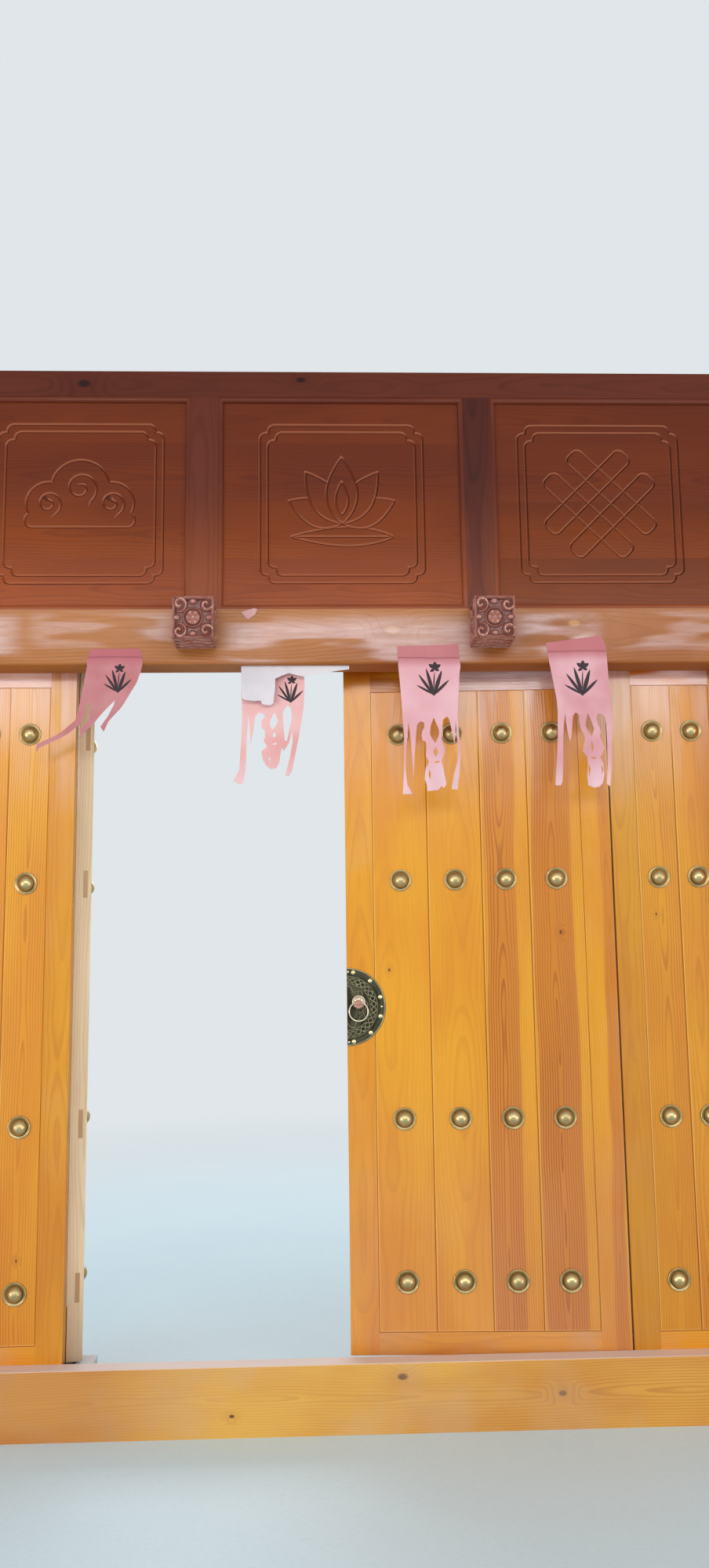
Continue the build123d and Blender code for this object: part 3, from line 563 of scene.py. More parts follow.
for side, hand in HANDS.items():
    leaf = side + "_leaf"
    common = {"body": leaf, "shade": LEAF_SHADE, "ripple": 0.0016, "wave": 11.0, "gloss": 0.15}
    stile = {**common, "bare_edges": True}
    rail = {**stile, "along": "x"}
    boards = [(start, *board) for start, board in zip(PLANK_STARTS, LEAF_BOARDS[side])]
    dress_wood(leaf + "_planks", HONEY, 2.0, boards=boards, lines=PLANK_STARTS, ends=(0.249, 2.234), knots=LEAF_KNOTS,
               bloom=(*HIGH_PAINTED_SHEEN, LOW_DUST), **common)
    dress_wood(leaf + "_meeting_stile", HONEY, 11.0, dusty=0.15, bloom=(LOW_DUST,), **stile)
    dress_wood(leaf + "_hinge_stile", HONEY, 17.0, dusty=0.1, boards=((0.761, 0.072, 0.004, 0.022, 0.25, 0.96),),
               bloom=(*STILE_PAINTED_SHEEN, LOW_DUST), **stile)
    dress_wood(leaf + "_bottom_rail", HONEY, 23.0, dusty=0.6, boards=((0.18, 0.03, 0.06, 0.03, 0.25, 0.95),),
               bloom=(LOW_DUST,), **rail)
    # The top rail's darker tone, 0.80, is painted shade under the lintel; its pale streaks are painted sheen
    dress_wood(leaf + "_top_rail", HONEY, 29.0, boards=((2.2, 0.03, 0.02, 0.06, 0.25, 0.80),), bloom=RAIL_PAINTED_SHEEN,
               **rail)
    dress_wood(leaf + "_battens", END_GRAIN, 31.0, body=leaf, along="x", gloss=0.5)
    tone = SIDE_TONES[side]
    boards = [(SIDE_SPOTS[0], 0.066, 0.012, 0.0, 0.5, tone), (SIDE_SPOTS[1], 0.05, 0.03, 0.0, 0.4, tone)]
    if side == "left":
        boards = [(-SIDE_SPOTS[2], *boards[1][1:]), (-SIDE_SPOTS[1], *boards[0][1:])]
    dress_wood(side + "_side_planks", HONEY, 41.0 + hand, boards=boards, lines=[hand * x for x in SIDE_SPOTS],
               ends=(0.246, 2.244), knots=SIDE_KNOTS[side], shade=LEAF_SHADE, bloom=HIGH_PAINTED_SHEEN)
    dress_wood(side + "_side_stiles", HONEY, 47.0 + hand, dusty=0.1, shade=LEAF_SHADE, bloom=STILE_PAINTED_SHEEN,
               boards=((hand * DOOR_HALF, hand * 0.03, 0.05, 0.02, 0.25, tone - 0.08),))
    dress_wood(side + "_side_rails", HONEY, 53.0 + hand, along="x", dusty=0.3, shade=LEAF_SHADE, bloom=RAIL_PAINTED_SHEEN)
    dress_wood(side + "_side_battens", END_GRAIN, 59.0, along="x", gloss=0.5)

# Painted sheen on the lintel: pale patches that stand in for glossy reflections
LINTEL_PAINTED_SHEEN = (
    ((2.288, 2.310), (2.400, 2.465), (-0.36, 0.42), 0.56, 15.0, 2.6, 0.46),
    ((2.300, 2.340), (2.430, 2.465), (0.56, 0.80), 0.64, 15.0, 3.0, 0.42),
    ((2.320, 2.360), (2.440, 2.470), (0.86, 1.30), 0.38, 15.0, 2.4, 0.50),
    ((2.330, 2.370), (2.440, 2.470), (-0.97, -0.54), 0.38, 15.0, 2.4, 0.48),
    ((2.310, 2.340), (2.430, 2.465), (-1.30, -1.03), 0.55, 15.0, 2.4, 0.46),
)
UPWARD = (182, 176, 238)
JAMB_SHADE, HEADER_SHADE = ((2.25, 2.75, (176, 128, 128)),), ((2.45, 2.92, UPWARD),)
dress_wood("threshold", SILL, 61.0, along="x", dusty=0.35, dusty_top=0.75,
           boards=((0.0, 0.1, 0.075, 0.0, 0.42, 0.985),),
           fades=((-0.35, -0.8, (228, 208, 222)), (0.3, 0.9, (248, 237, 220))),
           knots=((0.157, 0.150, 0.010), (0.10, 0.62, 0.008), (0.06, -0.35, 0.005)))
dress_wood("lintel", LINTEL, 67.0, along="x", dusty=0.2, gloss=0.32, bloom_edge=0.05, ripple=0.0040, wave=7.0,
           rough_under=0.45, boards=((2.291, 0.1, 0.03, 0.05, 0.22, 1.0),), bloom=LINTEL_PAINTED_SHEEN,
           knots=((2.40, 0.155, 0.014), (2.42, 0.735, 0.012), (2.35, 0.80, 0.007)))
dress_wood("top_rail", SHADED, 71.0, along="x", shade=((3.0, 3.1, UPWARD),),
           boards=((3.18, 0.04, 0.04, 0.05, 0.4, 0.86),), knots=((3.225, -0.83, 0.014), (3.24, -0.13, 0.01)), **MATT)
dress_wood("left_header_post", SHADED, 83.0, shade=HEADER_SHADE,
           boards=((-0.487, 0.03, 0.03, 0.05, 0.3, 0.92),), **MATT)
dress_wood("right_header_post", SHADED, 89.0, shade=HEADER_SHADE,
           boards=((0.397, 0.03, 0.03, 0.09, 0.3, 0.72),), **MATT)
dress_wood("header_mouldings", SHADED, 97.0, along="x", shade=HEADER_SHADE, gloss=0.12, **MATT)
dress_wood("pivot_board", LINTEL, 101.0, along="x", gloss=0.34)
dress_wood("door_pin_wedges", BARE, 109.0, gloss=0.5)
for side, jamb_seed, block_seed in (("left", 73.0, 103.0), ("right", 79.0, 107.0)):
    dress_wood(side + "_jamb", HONEY, jamb_seed, shade=JAMB_SHADE, boards=((0.0, 0.05, 0.05, 0.03, 0.2, 0.92),))
    dress_wood(side + "_pivot_block", WEATHERED, block_seed, along="x", gloss=0.5, dusty=0.6)
pivot_iron = iron("forged_iron")
for part in ("lower_pivot_sockets", "upper_pivot_sockets", "left_leaf_upper_pivot", "left_leaf_lower_pivot",
             "right_leaf_upper_pivot", "right_leaf_lower_pivot"):
    dress(part, pivot_iron)
for node in cad.values():
    bevel = node.modifiers.new("arris", "BEVEL")
    bevel.width, bevel.segments = 0.0012, 2
    bevel.limit_method, bevel.angle_limit = "ANGLE", math.radians(50)
    bevel.use_clamp_overlap = True

# Brass studs: a rolled rim, a sunk ring and a dome, (radius, height) in millimetres with each point's wear
STUD_SIDES, STUD_ANGLES = 44, np.linspace(0.06, 1.50, 13)
STUD_RIM = ((35.0, 0.0, 0.5), (35.0, 2.0, 0.8), (34.7, 3.8, 1.0), (34.0, 5.0, 1.0), (33.0, 5.5, 1.0), (32.0, 5.2, 0.9),
            (31.0, 4.4, 0.7), (30.2, 3.9, 0.65), (28.0, 3.6, 0.65), (26.6, 3.2, 0.5), (25.6, 2.0, 0.0),
            (24.9, 2.0, 0.0))
stud_form = lathe([(r * MM, h * MM) for r, h, _ in STUD_RIM] + dome(0.0247, 0.0215, 0.0025, STUD_ANGLES), STUD_SIDES)
# The dome grows paler towards its top: partly rubbed wear, partly a painted highlight
stud_wear_and_highlight = np.repeat([wear for _, _, wear in STUD_RIM] + [min(1.0, 0.5 + 0.7 * a) for a in STUD_ANGLES], STUD_SIDES)
stud_brass = worn_brass("stud_brass", (106, 88, 54), (202, 180, 130), (150, 128, 84), (88, 66, 40), rough=0.27)
for side in HANDS:
    for part, body, face, middles in (
        ("_leaf", side + "_leaf", LEAF_FACE, [start + width / 2 for start, width in zip(PLANK_STARTS, PLANKS)]),
        ("_side", "frame", 0.0, [x + SIDE_PLANK / 2 for x in SIDE_SPOTS[:2]]),
    ):
        spots = [facing_front(x, face, z) for z in BATTENS for x in middles]
        studs = new_piece(side + part + "_brass_studs", *gathered(stud_form, spots), stud_brass, body, "aged_brass",
                          (side + part + "_studs",), place=PLACES[side + part])
        set_wear(studs, np.tile(stud_wear_and_highlight, len(spots)))


# Lock plates, nails, bosses and rings
def spiral_height(u, v, eye, reach, pitch, hand=1):
    """Height from 0 to 1 of a carved scroll round an eye."""
    du, dv = u - eye[0], v - eye[1]
    r = np.hypot(du, dv)
    wave = 0.5 + 0.5 * np.cos(2 * math.pi * r / pitch - np.arctan2(dv, du) * hand)
    return wave * np.clip((reach - r) / (0.2 * reach), 0, 1)


def line_height(off, half):
    """Height from 0 to 1 of a line, from the distance to its middle and half its width."""
    return np.clip(1 - np.abs(off) / half, 0, 1)


def highest(*heights):
    return np.maximum.reduce(heights)


def plate_form():
    """Half-round plate with a raised rim, an engraved braid and vine, and curls; its edge reaches the wood."""
    rings, turns, inset, thickness, band_radius = 116, 190, 0.001, 0.002, 0.1055
    r, a = np.meshgrid(np.linspace(0, PLATE_RADIUS, rings + 1), np.linspace(-math.pi / 2, math.pi / 2, turns + 1),
                       indexing="ij")
    x, z = r * np.cos(a), r * np.sin(a)
    rim = np.clip((r - 0.1170) / 0.0012, 0, 1) * np.clip((0.1205 - r) / 0.0012, 0, 1)
    band = line_height(r - band_radius, 0.0012)
    sway = 0.0075 * np.sin(15 * a)
    braid = highest(line_height(r - 0.084 - sway, 0.0024), line_height(r - 0.084 + sway, 0.0024))
    vine = line_height(r - 0.058 - 0.008 * np.sin(9 * a + 0.6), 0.0022)
    borders = highest(line_height(r - 0.0955, 0.0016), line_height(r - 0.0725, 0.0016))
    eyes = 0.034 + 0.012 * np.cos(3 * a), 0.058 * np.sin(a)
    curls = spiral_height(x, z, eyes, 0.02, 0.006) * (r > 0.03)
    relief = 0.0009 * rim - 0.0007 * band - 0.0006 * highest(braid, borders, vine) + 0.0003 * curls
    wear = highest(rim, 0.8 * braid, 0.55 * borders, 0.6 * vine, 0.25 * curls, 0.08 * (1 - band) * (r > band_radius))
    points = np.stack((x + MEETING_EDGE + inset, LEAF_FACE - thickness - relief, z + PLATE_HEIGHT), -1).reshape(-1, 3)
    edge = points[-turns - 1:] * (1, 0, 1) + (0, LEAF_FACE, 0)
    return np.vstack((points, edge)), quads(rings + 2, turns + 1, turned=True), [*wear.ravel(), *[0.6] * len(edge)]


def nail_forms():
    """Six large nails and three small ones on the plate's border, at turns in degrees from the top."""
    large = lathe([(0.0075, 0.0), (0.0076, 0.0006)] + dome(0.0074, 0.0040, 0.0007, np.linspace(0.1, 1.5, 7)), 20)
    small = lathe([(0.0036, 0.0)] + dome(0.0036, 0.0020, 0.0, np.linspace(0.15, 1.5, 5)), 12)

    def spots(turns):
        for a in np.radians(turns):
            x, z = 0.109 * math.sin(a), 0.109 * math.cos(a)
            yield facing_front(MEETING_EDGE + x, LEAF_FACE - 0.0024, PLATE_HEIGHT + z)

    return together(gathered(large, spots([11 + 31.6 * i for i in range(6)])), gathered(small, spots([2.2, 90, 177])))


def flower_cap():
    """The small rose with ten petals that hides the ring's top. Its rows give radius, height and wear."""
    sides, back, low = 72, 0.0212, 0.0065
    rows = ((0.0148, 0.0, 0.05), (0.0150, 0.0010, 0.0), (0.0146, 0.0018, 0.1), (0.0128, 0.0028, 0.45),
            (0.0104, 0.0030, 0.35), (0.0088, 0.0022, 0.0), (0.0072, 0.0030, 0.4), (0.0050, 0.0034, 0.3),
            (0.0036, 0.0026, 0.0), (0.0026, 0.0036, 0.5))

    def lobe(a):
        return 0.5 + 0.5 * math.cos(10 * a)

    def petals(r, h, a):
        return r * (1 - 0.07 * (1 - lobe(a))) if r > 0.01 else r, back + h * (0.75 + 0.25 * lobe(a))

    points, faces = lathe([row[:2] for row in rows], sides, petals)
    wear = [w * (0.4 + 0.6 * lobe(2 * math.pi * k / sides)) for _, _, w in rows for k in range(sides)]
    return (points - (0, low, 0), faces), wear


def boss_form():
    """Round rose with a turned collar, eight petals, the lug with its eye, and the flower cap on its stem."""
    sides, edge, tip = 64, 0.0164, 0.0062
    collar = lathe([(0.0210, 0.0), (0.0210, 0.0020), (0.0203, 0.0034), (0.0188, 0.0040), (0.0172, 0.0036),
                    (edge, 0.0030)], sides)
    rises = [(r, 0.0050 * math.sin((edge - r) / (edge - tip) * math.pi / 2))
             for r in (edge, 0.0150, 0.0130, 0.0105, 0.0080, tip)]
    rose = lathe(rises, sides, lambda r, h, a: (r, 0.0030 + h * (0.86 + 0.14 * math.cos(8 * a))), foot=False)
    eye, half, thick, steps = 0.0030, 0.0050, 0.0030, 24
    lug = [(x, radius * math.sin(a), 0.013 + radius * math.cos(a))
           for x, radius in ((-thick, eye), (-thick, half), (thick, half), (thick, eye))
           for a in (2 * math.pi * k / steps for k in range(steps))]
    lug = np.array(lug), quads(4, steps, loop_rows=True, loop_columns=True, turned=True)
    neck = box_form((-thick, -half, 0.0068), (thick, half, 0.0098))
    cap, cap_wear = flower_cap()
    stem = box_form((-thick, -0.0045, 0.0168), (thick, 0.0025, 0.0215))
    points, faces = together(collar, rose, lug, neck, cap, stem)
    wear = [level for form, level in ((collar, 1.0), (rose, 0.9), (lug, 0.2), (neck, 0.2)) for _ in form[0]]
    place = facing_front(BOSS[0], LEAF_FACE - 0.002, BOSS[1])
    return moved(points, place), faces, wear + cap_wear + [0.1] * len(stem[0])


def ring_form():
    """Round pull ring, hanging from the lug."""
    radius, wire, turns, section = 0.0295, 0.0025, 96, 14
    a, b = 2 * math.pi * np.mgrid[:turns, :section] / np.array([turns, section])[:, None, None]
    r = radius + wire * np.cos(b)
    points = np.stack((BOSS[0] + r * np.sin(a), RING_AXIS_Y + wire * np.sin(b), BOSS[1] - radius + r * np.cos(a)), -1)
    return points.reshape(-1, 3), quads(turns, section, loop_rows=True, loop_columns=True, turned=True)


plate_bronze = worn_brass("plate_bronze", (52, 50, 40), (176, 166, 128), (84, 82, 62), (26, 26, 22), 0.0006, 0.3)
boss_brass = worn_brass("boss_brass", (132, 54, 56), (232, 214, 184), (190, 150, 128), (96, 40, 38), 0.0002)
nail_brass = brass("nail_brass", (236, 222, 176), (196, 168, 112), (120, 92, 54), rough=0.2, tarnish=0.4)
ring_metal = brass("ring_metal", (226, 216, 188), (190, 170, 130), (120, 98, 66), rough=0.16, tarnish=0.35)
for side in HANDS:
    leaf, place = side + "_leaf", PLACES[side + "_leaf"]
    for name, (points, faces, *wear), metal, body, node in (
        ("_lock_plate", plate_form(), plate_bronze, leaf, "_pull_plate"),
        ("_nail_heads", nail_forms(), nail_brass, leaf, "_plate_nails"),
        ("_boss", boss_form(), boss_brass, leaf, "_ring_boss"),
        ("_ring", ring_form(), ring_metal, side + "_ring", "_pull_ring"),
    ):
        piece = new_piece(side + name, points, faces, metal, body, "aged_brass", (leaf + node,), place=place)
        if wear:
            set_wear(piece, wear[0])


# Carved header fields, in millimetres, and their motifs, in shares of MOTIF. The groove is its depth by the
# distance from its middle
GROOVE = ((0.0, -5.0), (0.8, -5.0), (2.5, -3.4), (4.4, 0.0))
GROOVE_LINES = (-4.4, -2.5, -0.8, 0.8, 2.5, 4.4)
NOTCH, FRAME_SIZE, LINE_SPACING, MOTIF = 27, (528, 532), 25, 372


def closed(path):
    return path + path[:1]


def spaced(path, step):
    """The same line with points no further apart than a step."""
    out = [path[0]]
    for a, b in zip(path, path[1:]):
        a, b = np.array(a, float), np.array(b, float)
        count = max(1, int(math.ceil(np.linalg.norm(b - a) / step)))
        out += [tuple(a + (b - a) * k / count) for k in range(1, count + 1)]
    return out


def turned_path(path, degrees, origin=(0, 0)):
    """A line turned about its own zero and moved to an origin."""
    c, s = math.cos(math.radians(degrees)), math.sin(math.radians(degrees))
    return [(origin[0] + x * c - y * s, origin[1] + x * s + y * c) for x, y in path]


def arc(centre, radius, start, end, count=14):
    angles = np.radians(np.linspace(start, end, count))
    return [(centre[0] + radius * math.cos(a), centre[1] + radius * math.sin(a)) for a in angles]


def notched_frame(shrink):
    """Rounded frame line with a small step at each corner."""
    w, h, r = FRAME_SIZE[0] / 2 - shrink, FRAME_SIZE[1] / 2 - shrink, NOTCH * 0.78
    corner = [*arc((w - r, h - NOTCH - r), r, 0, 90, 9), (w - NOTCH, h - NOTCH),
              *arc((w - NOTCH - r, h - r), r, 0, 90, 9)]
    path = []
    for sx, sy in ((1, 1), (-1, 1), (-1, -1), (1, -1)):
        path += [(sx * x, sy * y) for x, y in corner][::sx * sy]
    return closed(path)


def petal(length, width, angle, root):
    """Closed outline of a pointed petal."""
    t = np.linspace(0, 1, 28)
    half = width / 2 * np.sin(math.pi * t ** 0.85) ** 0.9
    return turned_path([*zip(half, length * t), *zip(-half[-2::-1], length * t[-2::-1])], angle, root)


def inside(points, polygon):
    """Which points lie inside a closed polygon."""
    polygon = np.asarray(polygon, float)
    x, y = np.asarray(points, float).T
    result = np.zeros(len(x), bool)
    for (x0, y0), (x1, y1) in zip(polygon, np.roll(polygon, -1, 0)):
        result ^= ((y0 > y) != (y1 > y)) & (x < (x1 - x0) * (y - y0) / ((y1 - y0) or 1e-9) + x0)
    return result


def visible_runs(path, covers):
    """The stretches of a motif's line that no cover hides."""
    path = spaced(path, 2.5 / MOTIF)
    hidden = np.zeros(len(path), bool)
    for cover in covers:
        hidden |= inside(path, cover)
    runs = [[]]
    for point, dark in zip(path, hidden):
        if dark:
            runs.append([])
        else:
            runs[-1].append(point)
    return [run for run in runs if len(run) > 2]


def lotus():
    front = petal(0.60, 0.27, 0, (0, -0.18))
    covers, runs = [front], [front]
    for angle, length in ((34, 0.56), (66, 0.50)):
        pair = [petal(length, 0.25, turn, (0, -0.18)) for turn in (angle, -angle)]
        for outline in pair:
            runs += visible_runs(outline, covers)
        covers += pair
    runs.append(petal(0.30, 0.11, 0, (0, -0.10)))
    return runs + visible_runs(petal(0.88, 0.17, 90, (0.44, -0.30)), covers) + [[(-0.40, -0.30), (0.40, -0.30)]]


def cloud():
    lobes = ((0.0, 0.14, 0.25), (-0.27, 0.0, 0.19), (0.27, 0.0, 0.19))
    circles = [arc((x, y), r, 0, 360, 60) for x, y, r in lobes]
    base = [(-0.47, -0.215), (0.47, -0.215), (0.47, -0.085), (-0.47, -0.085)]
    ends = arc((0.405, -0.15), 0.065, -90, 90) + arc((-0.405, -0.15), 0.065, 90, 270)
    runs = []
    for i, circle in enumerate(circles):
        runs += visible_runs(closed(circle), [c for k, c in enumerate(circles) if k != i] + [base])
    runs += visible_runs(closed(ends), circles)
    for x, y, r in lobes:
        turns = np.linspace(0, 1, 44)
        reach, angles = r * (0.60 - 0.46 * turns), np.radians(-50 + 470 * turns)
        runs.append([*zip(x + reach * np.cos(angles), y + reach * np.sin(angles))])
    return runs


def knot():
    half_long, half_short, r = 0.49, 0.08, 0.055
    runs = []
    for turn in (45, -45):
        for shift in (-0.15, 0.15):
            loop = []
            for sx, sy, start in ((1, 1, 0), (-1, 1, 90), (-1, -1, 180), (1, -1, 270)):
                loop += arc((sx * (half_long - r), shift + sy * (half_short - r)), r, start, start + 90, 8)
            runs.append(closed(turned_path(loop, turn)))
    return runs


def unit(vectors):
    return vectors / np.maximum(np.linalg.norm(vectors, axis=1, keepdims=True), 1e-9)


def offset_line(path, distance):
    """A line beside another one."""
    p = np.asarray(path, float)
    loop = np.allclose(p[0], p[-1])
    normals = unit(np.diff(p, axis=0))[:, ::-1] * (-1, 1)
    before = np.vstack((normals[-1:] if loop else normals[:1], normals))
    after = np.vstack((normals, normals[:1] if loop else normals[-1:]))
    mean = unit(before + after)
    return p + mean * distance / np.maximum((mean * before).sum(1, keepdims=True), 0.5)


def segment_distance(points, starts, ends):
    """Distance of each point to the nearest of many segments."""
    best = np.full(len(points), 1e9)
    for a, b in zip(starts, ends):
        run = b - a
        t = np.clip(((points - a) @ run) / max(run @ run, 1e-9), 0, 1)
        best = np.minimum(best, np.linalg.norm(points - (a + t[:, None] * run), axis=1))
    return best


def triangulated(points, edges):
    """Flat points and faces of the triangles between points, with these edges kept."""
    points, _, faces, _, _, _ = delaunay_2d_cdt([Vector(p) for p in points], edges, [], 0, 1e-4)
    return np.array([(p.x, p.y) for p in points]), [tuple(f) for f in faces]


def lattice(x_range, z_range):
    return [(x, z) for x in np.arange(*x_range) for z in np.arange(*z_range)]


def carved_field(name, node, span, centre, motif, material):
    """A header field with engraved lines, cut from a flat board that runs 10 mm under its frame."""
    low, high, left, right = LINTEL_TOP / MM - 10, HEADER_TOP / MM + 10, span[0] - 10, span[1] + 10
    middle = (LINTEL_TOP + HEADER_TOP) / 2 / MM
    corners = [(left, low), (right, low), (right, high), (left, high)]
    points, edges, starts, ends = list(corners), [(0, 1), (1, 2), (2, 3), (3, 0)], [], []
    for run in FRAME_LINES + [[(x * MOTIF, y * MOTIF) for x, y in run] for run in motif]:
        run = spaced([(x + centre, y + middle) for x, y in run], 6.0)
        starts += list(np.array(run[:-1], float))
        ends += list(np.array(run[1:], float))
        for distance in GROOVE_LINES:
            base = len(points)
            points += list(offset_line(run, distance))
            edges += [(i, i + 1) for i in range(base, len(points) - 1)]
    points += lattice((left + 30, right - 20, 40), (low + 30, high - 20, 40))
    flat, faces = triangulated(points, edges)
    depth = np.interp(segment_distance(flat, starts, ends), *zip(*GROOVE))
    front = np.stack((flat[:, 0] * MM, FIELD_FACE - depth * MM, flat[:, 1] * MM), 1)
    back = np.array([(x * MM, FIELD_BACK, z * MM) for x, z in corners])
    where = [int(np.argmin(np.linalg.norm(flat - c, axis=1))) for c in corners]
    base = len(front)
    faces += [(where[j], where[i], base + i, base + j) for i, j in ((0, 1), (1, 2), (2, 3), (3, 0))]
    faces.append((base + 3, base + 2, base + 1, base))
    piece = new_piece(name, np.vstack((front, back)), faces, material, "frame", "shaded_varnished_wood", (node,),
                      smooth=False)
    cut = np.append(depth < -0.01, np.zeros(4, bool))
    piece.data.polygons.foreach_set("use_smooth", [bool(cut[list(p.vertices)].any()) for p in piece.data.polygons])


FRAME_LINES = [notched_frame(0), notched_frame(LINE_SPACING)]
for name, node, span, centre, motif, seed, low_tone in (
    ("cloud_field", "left_header_panel", (-1237, -487), -838, cloud(), 113.0, 1.0),
    ("lotus_field", "centre_header_panel", (-397, 397), 0, lotus(), 127.0, 1.0),
    ("knot_field", "right_header_panel", (487, 1237), 838, knot(), 131.0, 0.65),
):
    boards = [(level, 0.08, 0.05, heart, 0.3, tone) for level, heart, tone in
              ((2.46, 0.0, low_tone), (2.64, 0.02, (low_tone + 1.9) / 3), (2.83, 0.0, 1.02), (3.03, 0.0, 0.98))]
    field_wood = wood(name + "_wood", WARM_SHADED, seed, along="x", boards=boards, shade=HEADER_SHADE, gloss=0.12,
                      carved=True, **MATT)
    carved_field(name, node, span, centre, motif, field_wood)


# Carved door pins
PIN_X, PIN_LEVEL, TAIL_LEVEL = 0.462, 2.406, 2.387
PIN_FRONT, PIN_BACK, TAIL_END = -0.242, -0.112, 0.152
PIN_HALF = (0.062, 0.065)
TAIL_HALF, CARVING_DEPTH = 0.025, 0.010


def scroll_relief(u, v):
    """Height from 0 to 1 on a face from -1 to 1: a rosette in a ring, and a bold scroll in each corner."""
    r, a = np.hypot(u, v), np.arctan2(v, u)
    petals = np.clip((0.37 - r) / 0.05, 0, 1) * (0.45 + 0.45 * np.abs(np.cos(3 * a)) * np.clip(r / 0.2, 0, 1))
    button = np.sqrt(np.clip(1 - (r / 0.13) ** 2, 0, 1))
    scrolls = [spiral_height(u, v, (su * 0.66, sv * 0.64), 0.42, 0.34, su * sv) for su in (-1, 1) for sv in (-1, 1)]
    lobes = [0.9 * np.sqrt(np.clip(1 - ((u - cu) / 0.20) ** 2 - ((v - cv) / 0.15) ** 2, 0, 1))
             for cu, cv in ((0, 0.78), (0, -0.78), (0.80, 0), (-0.80, 0))]
    return highest(petals, button, line_height(r - 0.46, 0.055) * 0.8, *scrolls, *lobes)


def ripple_relief(u, v):
    """Height from 0 to 1 of layered ripples across a face."""
    wave = 0.5 + 0.5 * np.cos(v * 11 + 1.3 * np.cos(u * 4.5))
    return highest(wave * 0.95, spiral_height(u, v, (0.0, 0.1), 0.30, 0.22) * 0.8)


def pin_form(hand):
    """The carved head: five relief faces on a block, with its square tail behind."""
    count = 101
    x0, y0, z0 = hand * PIN_X, (PIN_FRONT + PIN_BACK) / 2, PIN_LEVEL
    half_x, half_y, half_z = PIN_HALF[0], (PIN_BACK - PIN_FRONT) / 2, PIN_HALF[1]
    u, v = np.meshgrid(np.linspace(-1, 1, count), np.linspace(-1, 1, count), indexing="ij")
    fade = np.clip((1 - highest(np.abs(u), np.abs(v))) / 0.05, 0, 1)
    edge_level = 0.55 + 0.45 * (0.5 + 0.5 * np.cos(3 * math.pi * u) * np.cos(3 * math.pi * v))
    points, faces, relief = [], [], []
    for shape, place, flip in (
        (scroll_relief, lambda h: (x0 + half_x * u, PIN_FRONT + h, z0 + half_z * v), False),
        (scroll_relief, lambda h: (x0 - half_x + h, y0 + half_y * u, z0 + half_z * v), True),
        (scroll_relief, lambda h: (x0 + half_x - h, y0 + half_y * u, z0 + half_z * v), False),
        (ripple_relief, lambda h: (x0 + half_x * u, y0 + half_y * v, z0 - half_z + h), True),
        (ripple_relief, lambda h: (x0 + half_x * u, y0 + half_y * v, z0 + half_z - h), False),
    ):
        height = shape(u, v) * fade + edge_level * (1 - fade)
        grid = quads(count, count, len(points), turned=True)
        faces += [face[::-1] for face in grid] if flip else grid
        points += list(zip(*(part.ravel() for part in place(CARVING_DEPTH * (1 - height) * fade))))
        relief += list(height.ravel())
    tail = box_form((x0 - TAIL_HALF, PIN_BACK - 0.002, TAIL_LEVEL - TAIL_HALF),
                    (x0 + TAIL_HALF, TAIL_END, TAIL_LEVEL + TAIL_HALF))
    return *together((points, faces), tail), relief + [0.8] * len(tail[0])


pin_lacquer = lacquer("worn_lacquer")
for side, hand in HANDS.items():
    points, faces, relief = pin_form(hand)
    pin = new_piece(side + "_carved_pin", points, faces, pin_lacquer, "frame", "dark_lacquered_wood",
                    (side + "_door_pin",))
    set_wear(pin, relief, "relief")

# Paper hangings: outlines and cut-outs in millimetres, x and z in turn, on the lintel's face
def pairs(*numbers):
    return tuple(zip(numbers[::2], numbers[1::2]))


PAPER_1 = pairs(-792, 2340, -715, 2341, -641, 2342, -631, 2318, -630, 2293, -636, 2265, -648, 2229, -670, 2191,
                -693, 2151, -729, 2106, -744, 2074, -755, 2090, -732, 2122, -716, 2158, -713, 2175, -729, 2156,
                -763, 2118, -775, 2103, -790, 2087, -817, 2059, -816, 2082, -793, 2116, -791, 2137, -783, 2162,
                -802, 2164, -804, 2133, -821, 2096, -855, 2073, -903, 2051, -947, 2029, -957, 2016, -953, 2041,
                -907, 2064, -876, 2081, -834, 2112, -829, 2137, -815, 2201, -807, 2255, -802, 2287, -805, 2305,
                -795, 2326)
PAPER_2 = pairs(-324, 2294, -129, 2293, -126, 2262, -124, 2240, -128, 2160, -137, 2103, -145, 2059, -155, 2009,
                -164, 1959, -173, 1941, -187, 1940, -182, 1959, -172, 1999, -163, 2052, -165, 2085, -175, 2045,
                -191, 2020, -197, 2031, -201, 2013, -205, 1985, -215, 1965, -233, 1963, -247, 1974, -258, 1996,
                -261, 2021, -243, 2035, -255, 2053, -250, 2067, -250, 2085, -262, 2100, -261, 2118, -250, 2132,
                -256, 2141, -270, 2145, -281, 2132, -287, 2086, -296, 2042, -298, 2089, -303, 2138, -307, 2068,
                -310, 1978, -316, 1925, -326, 1914, -349, 1925, -331, 1961, -328, 2010, -324, 2068, -322, 2140,
                -324, 2194)
HOLES_2 = (pairs(-179, 2169, -167, 2157, -166, 2124, -174, 2088, -181, 2053, -188, 2054, -191, 2096, -194, 2146),
           pairs(-220, 2146, -209, 2117, -216, 2101, -226, 2089, -234, 2103, -233, 2121), pairs(-222, 2082, -215, 2071,
           -221, 2062, -226, 2071), pairs(-228, 2043, -219, 2046, -210, 2043, -219, 2040), pairs(-238, 2001,
           -234, 1996, -236, 1985, -239, 1994))
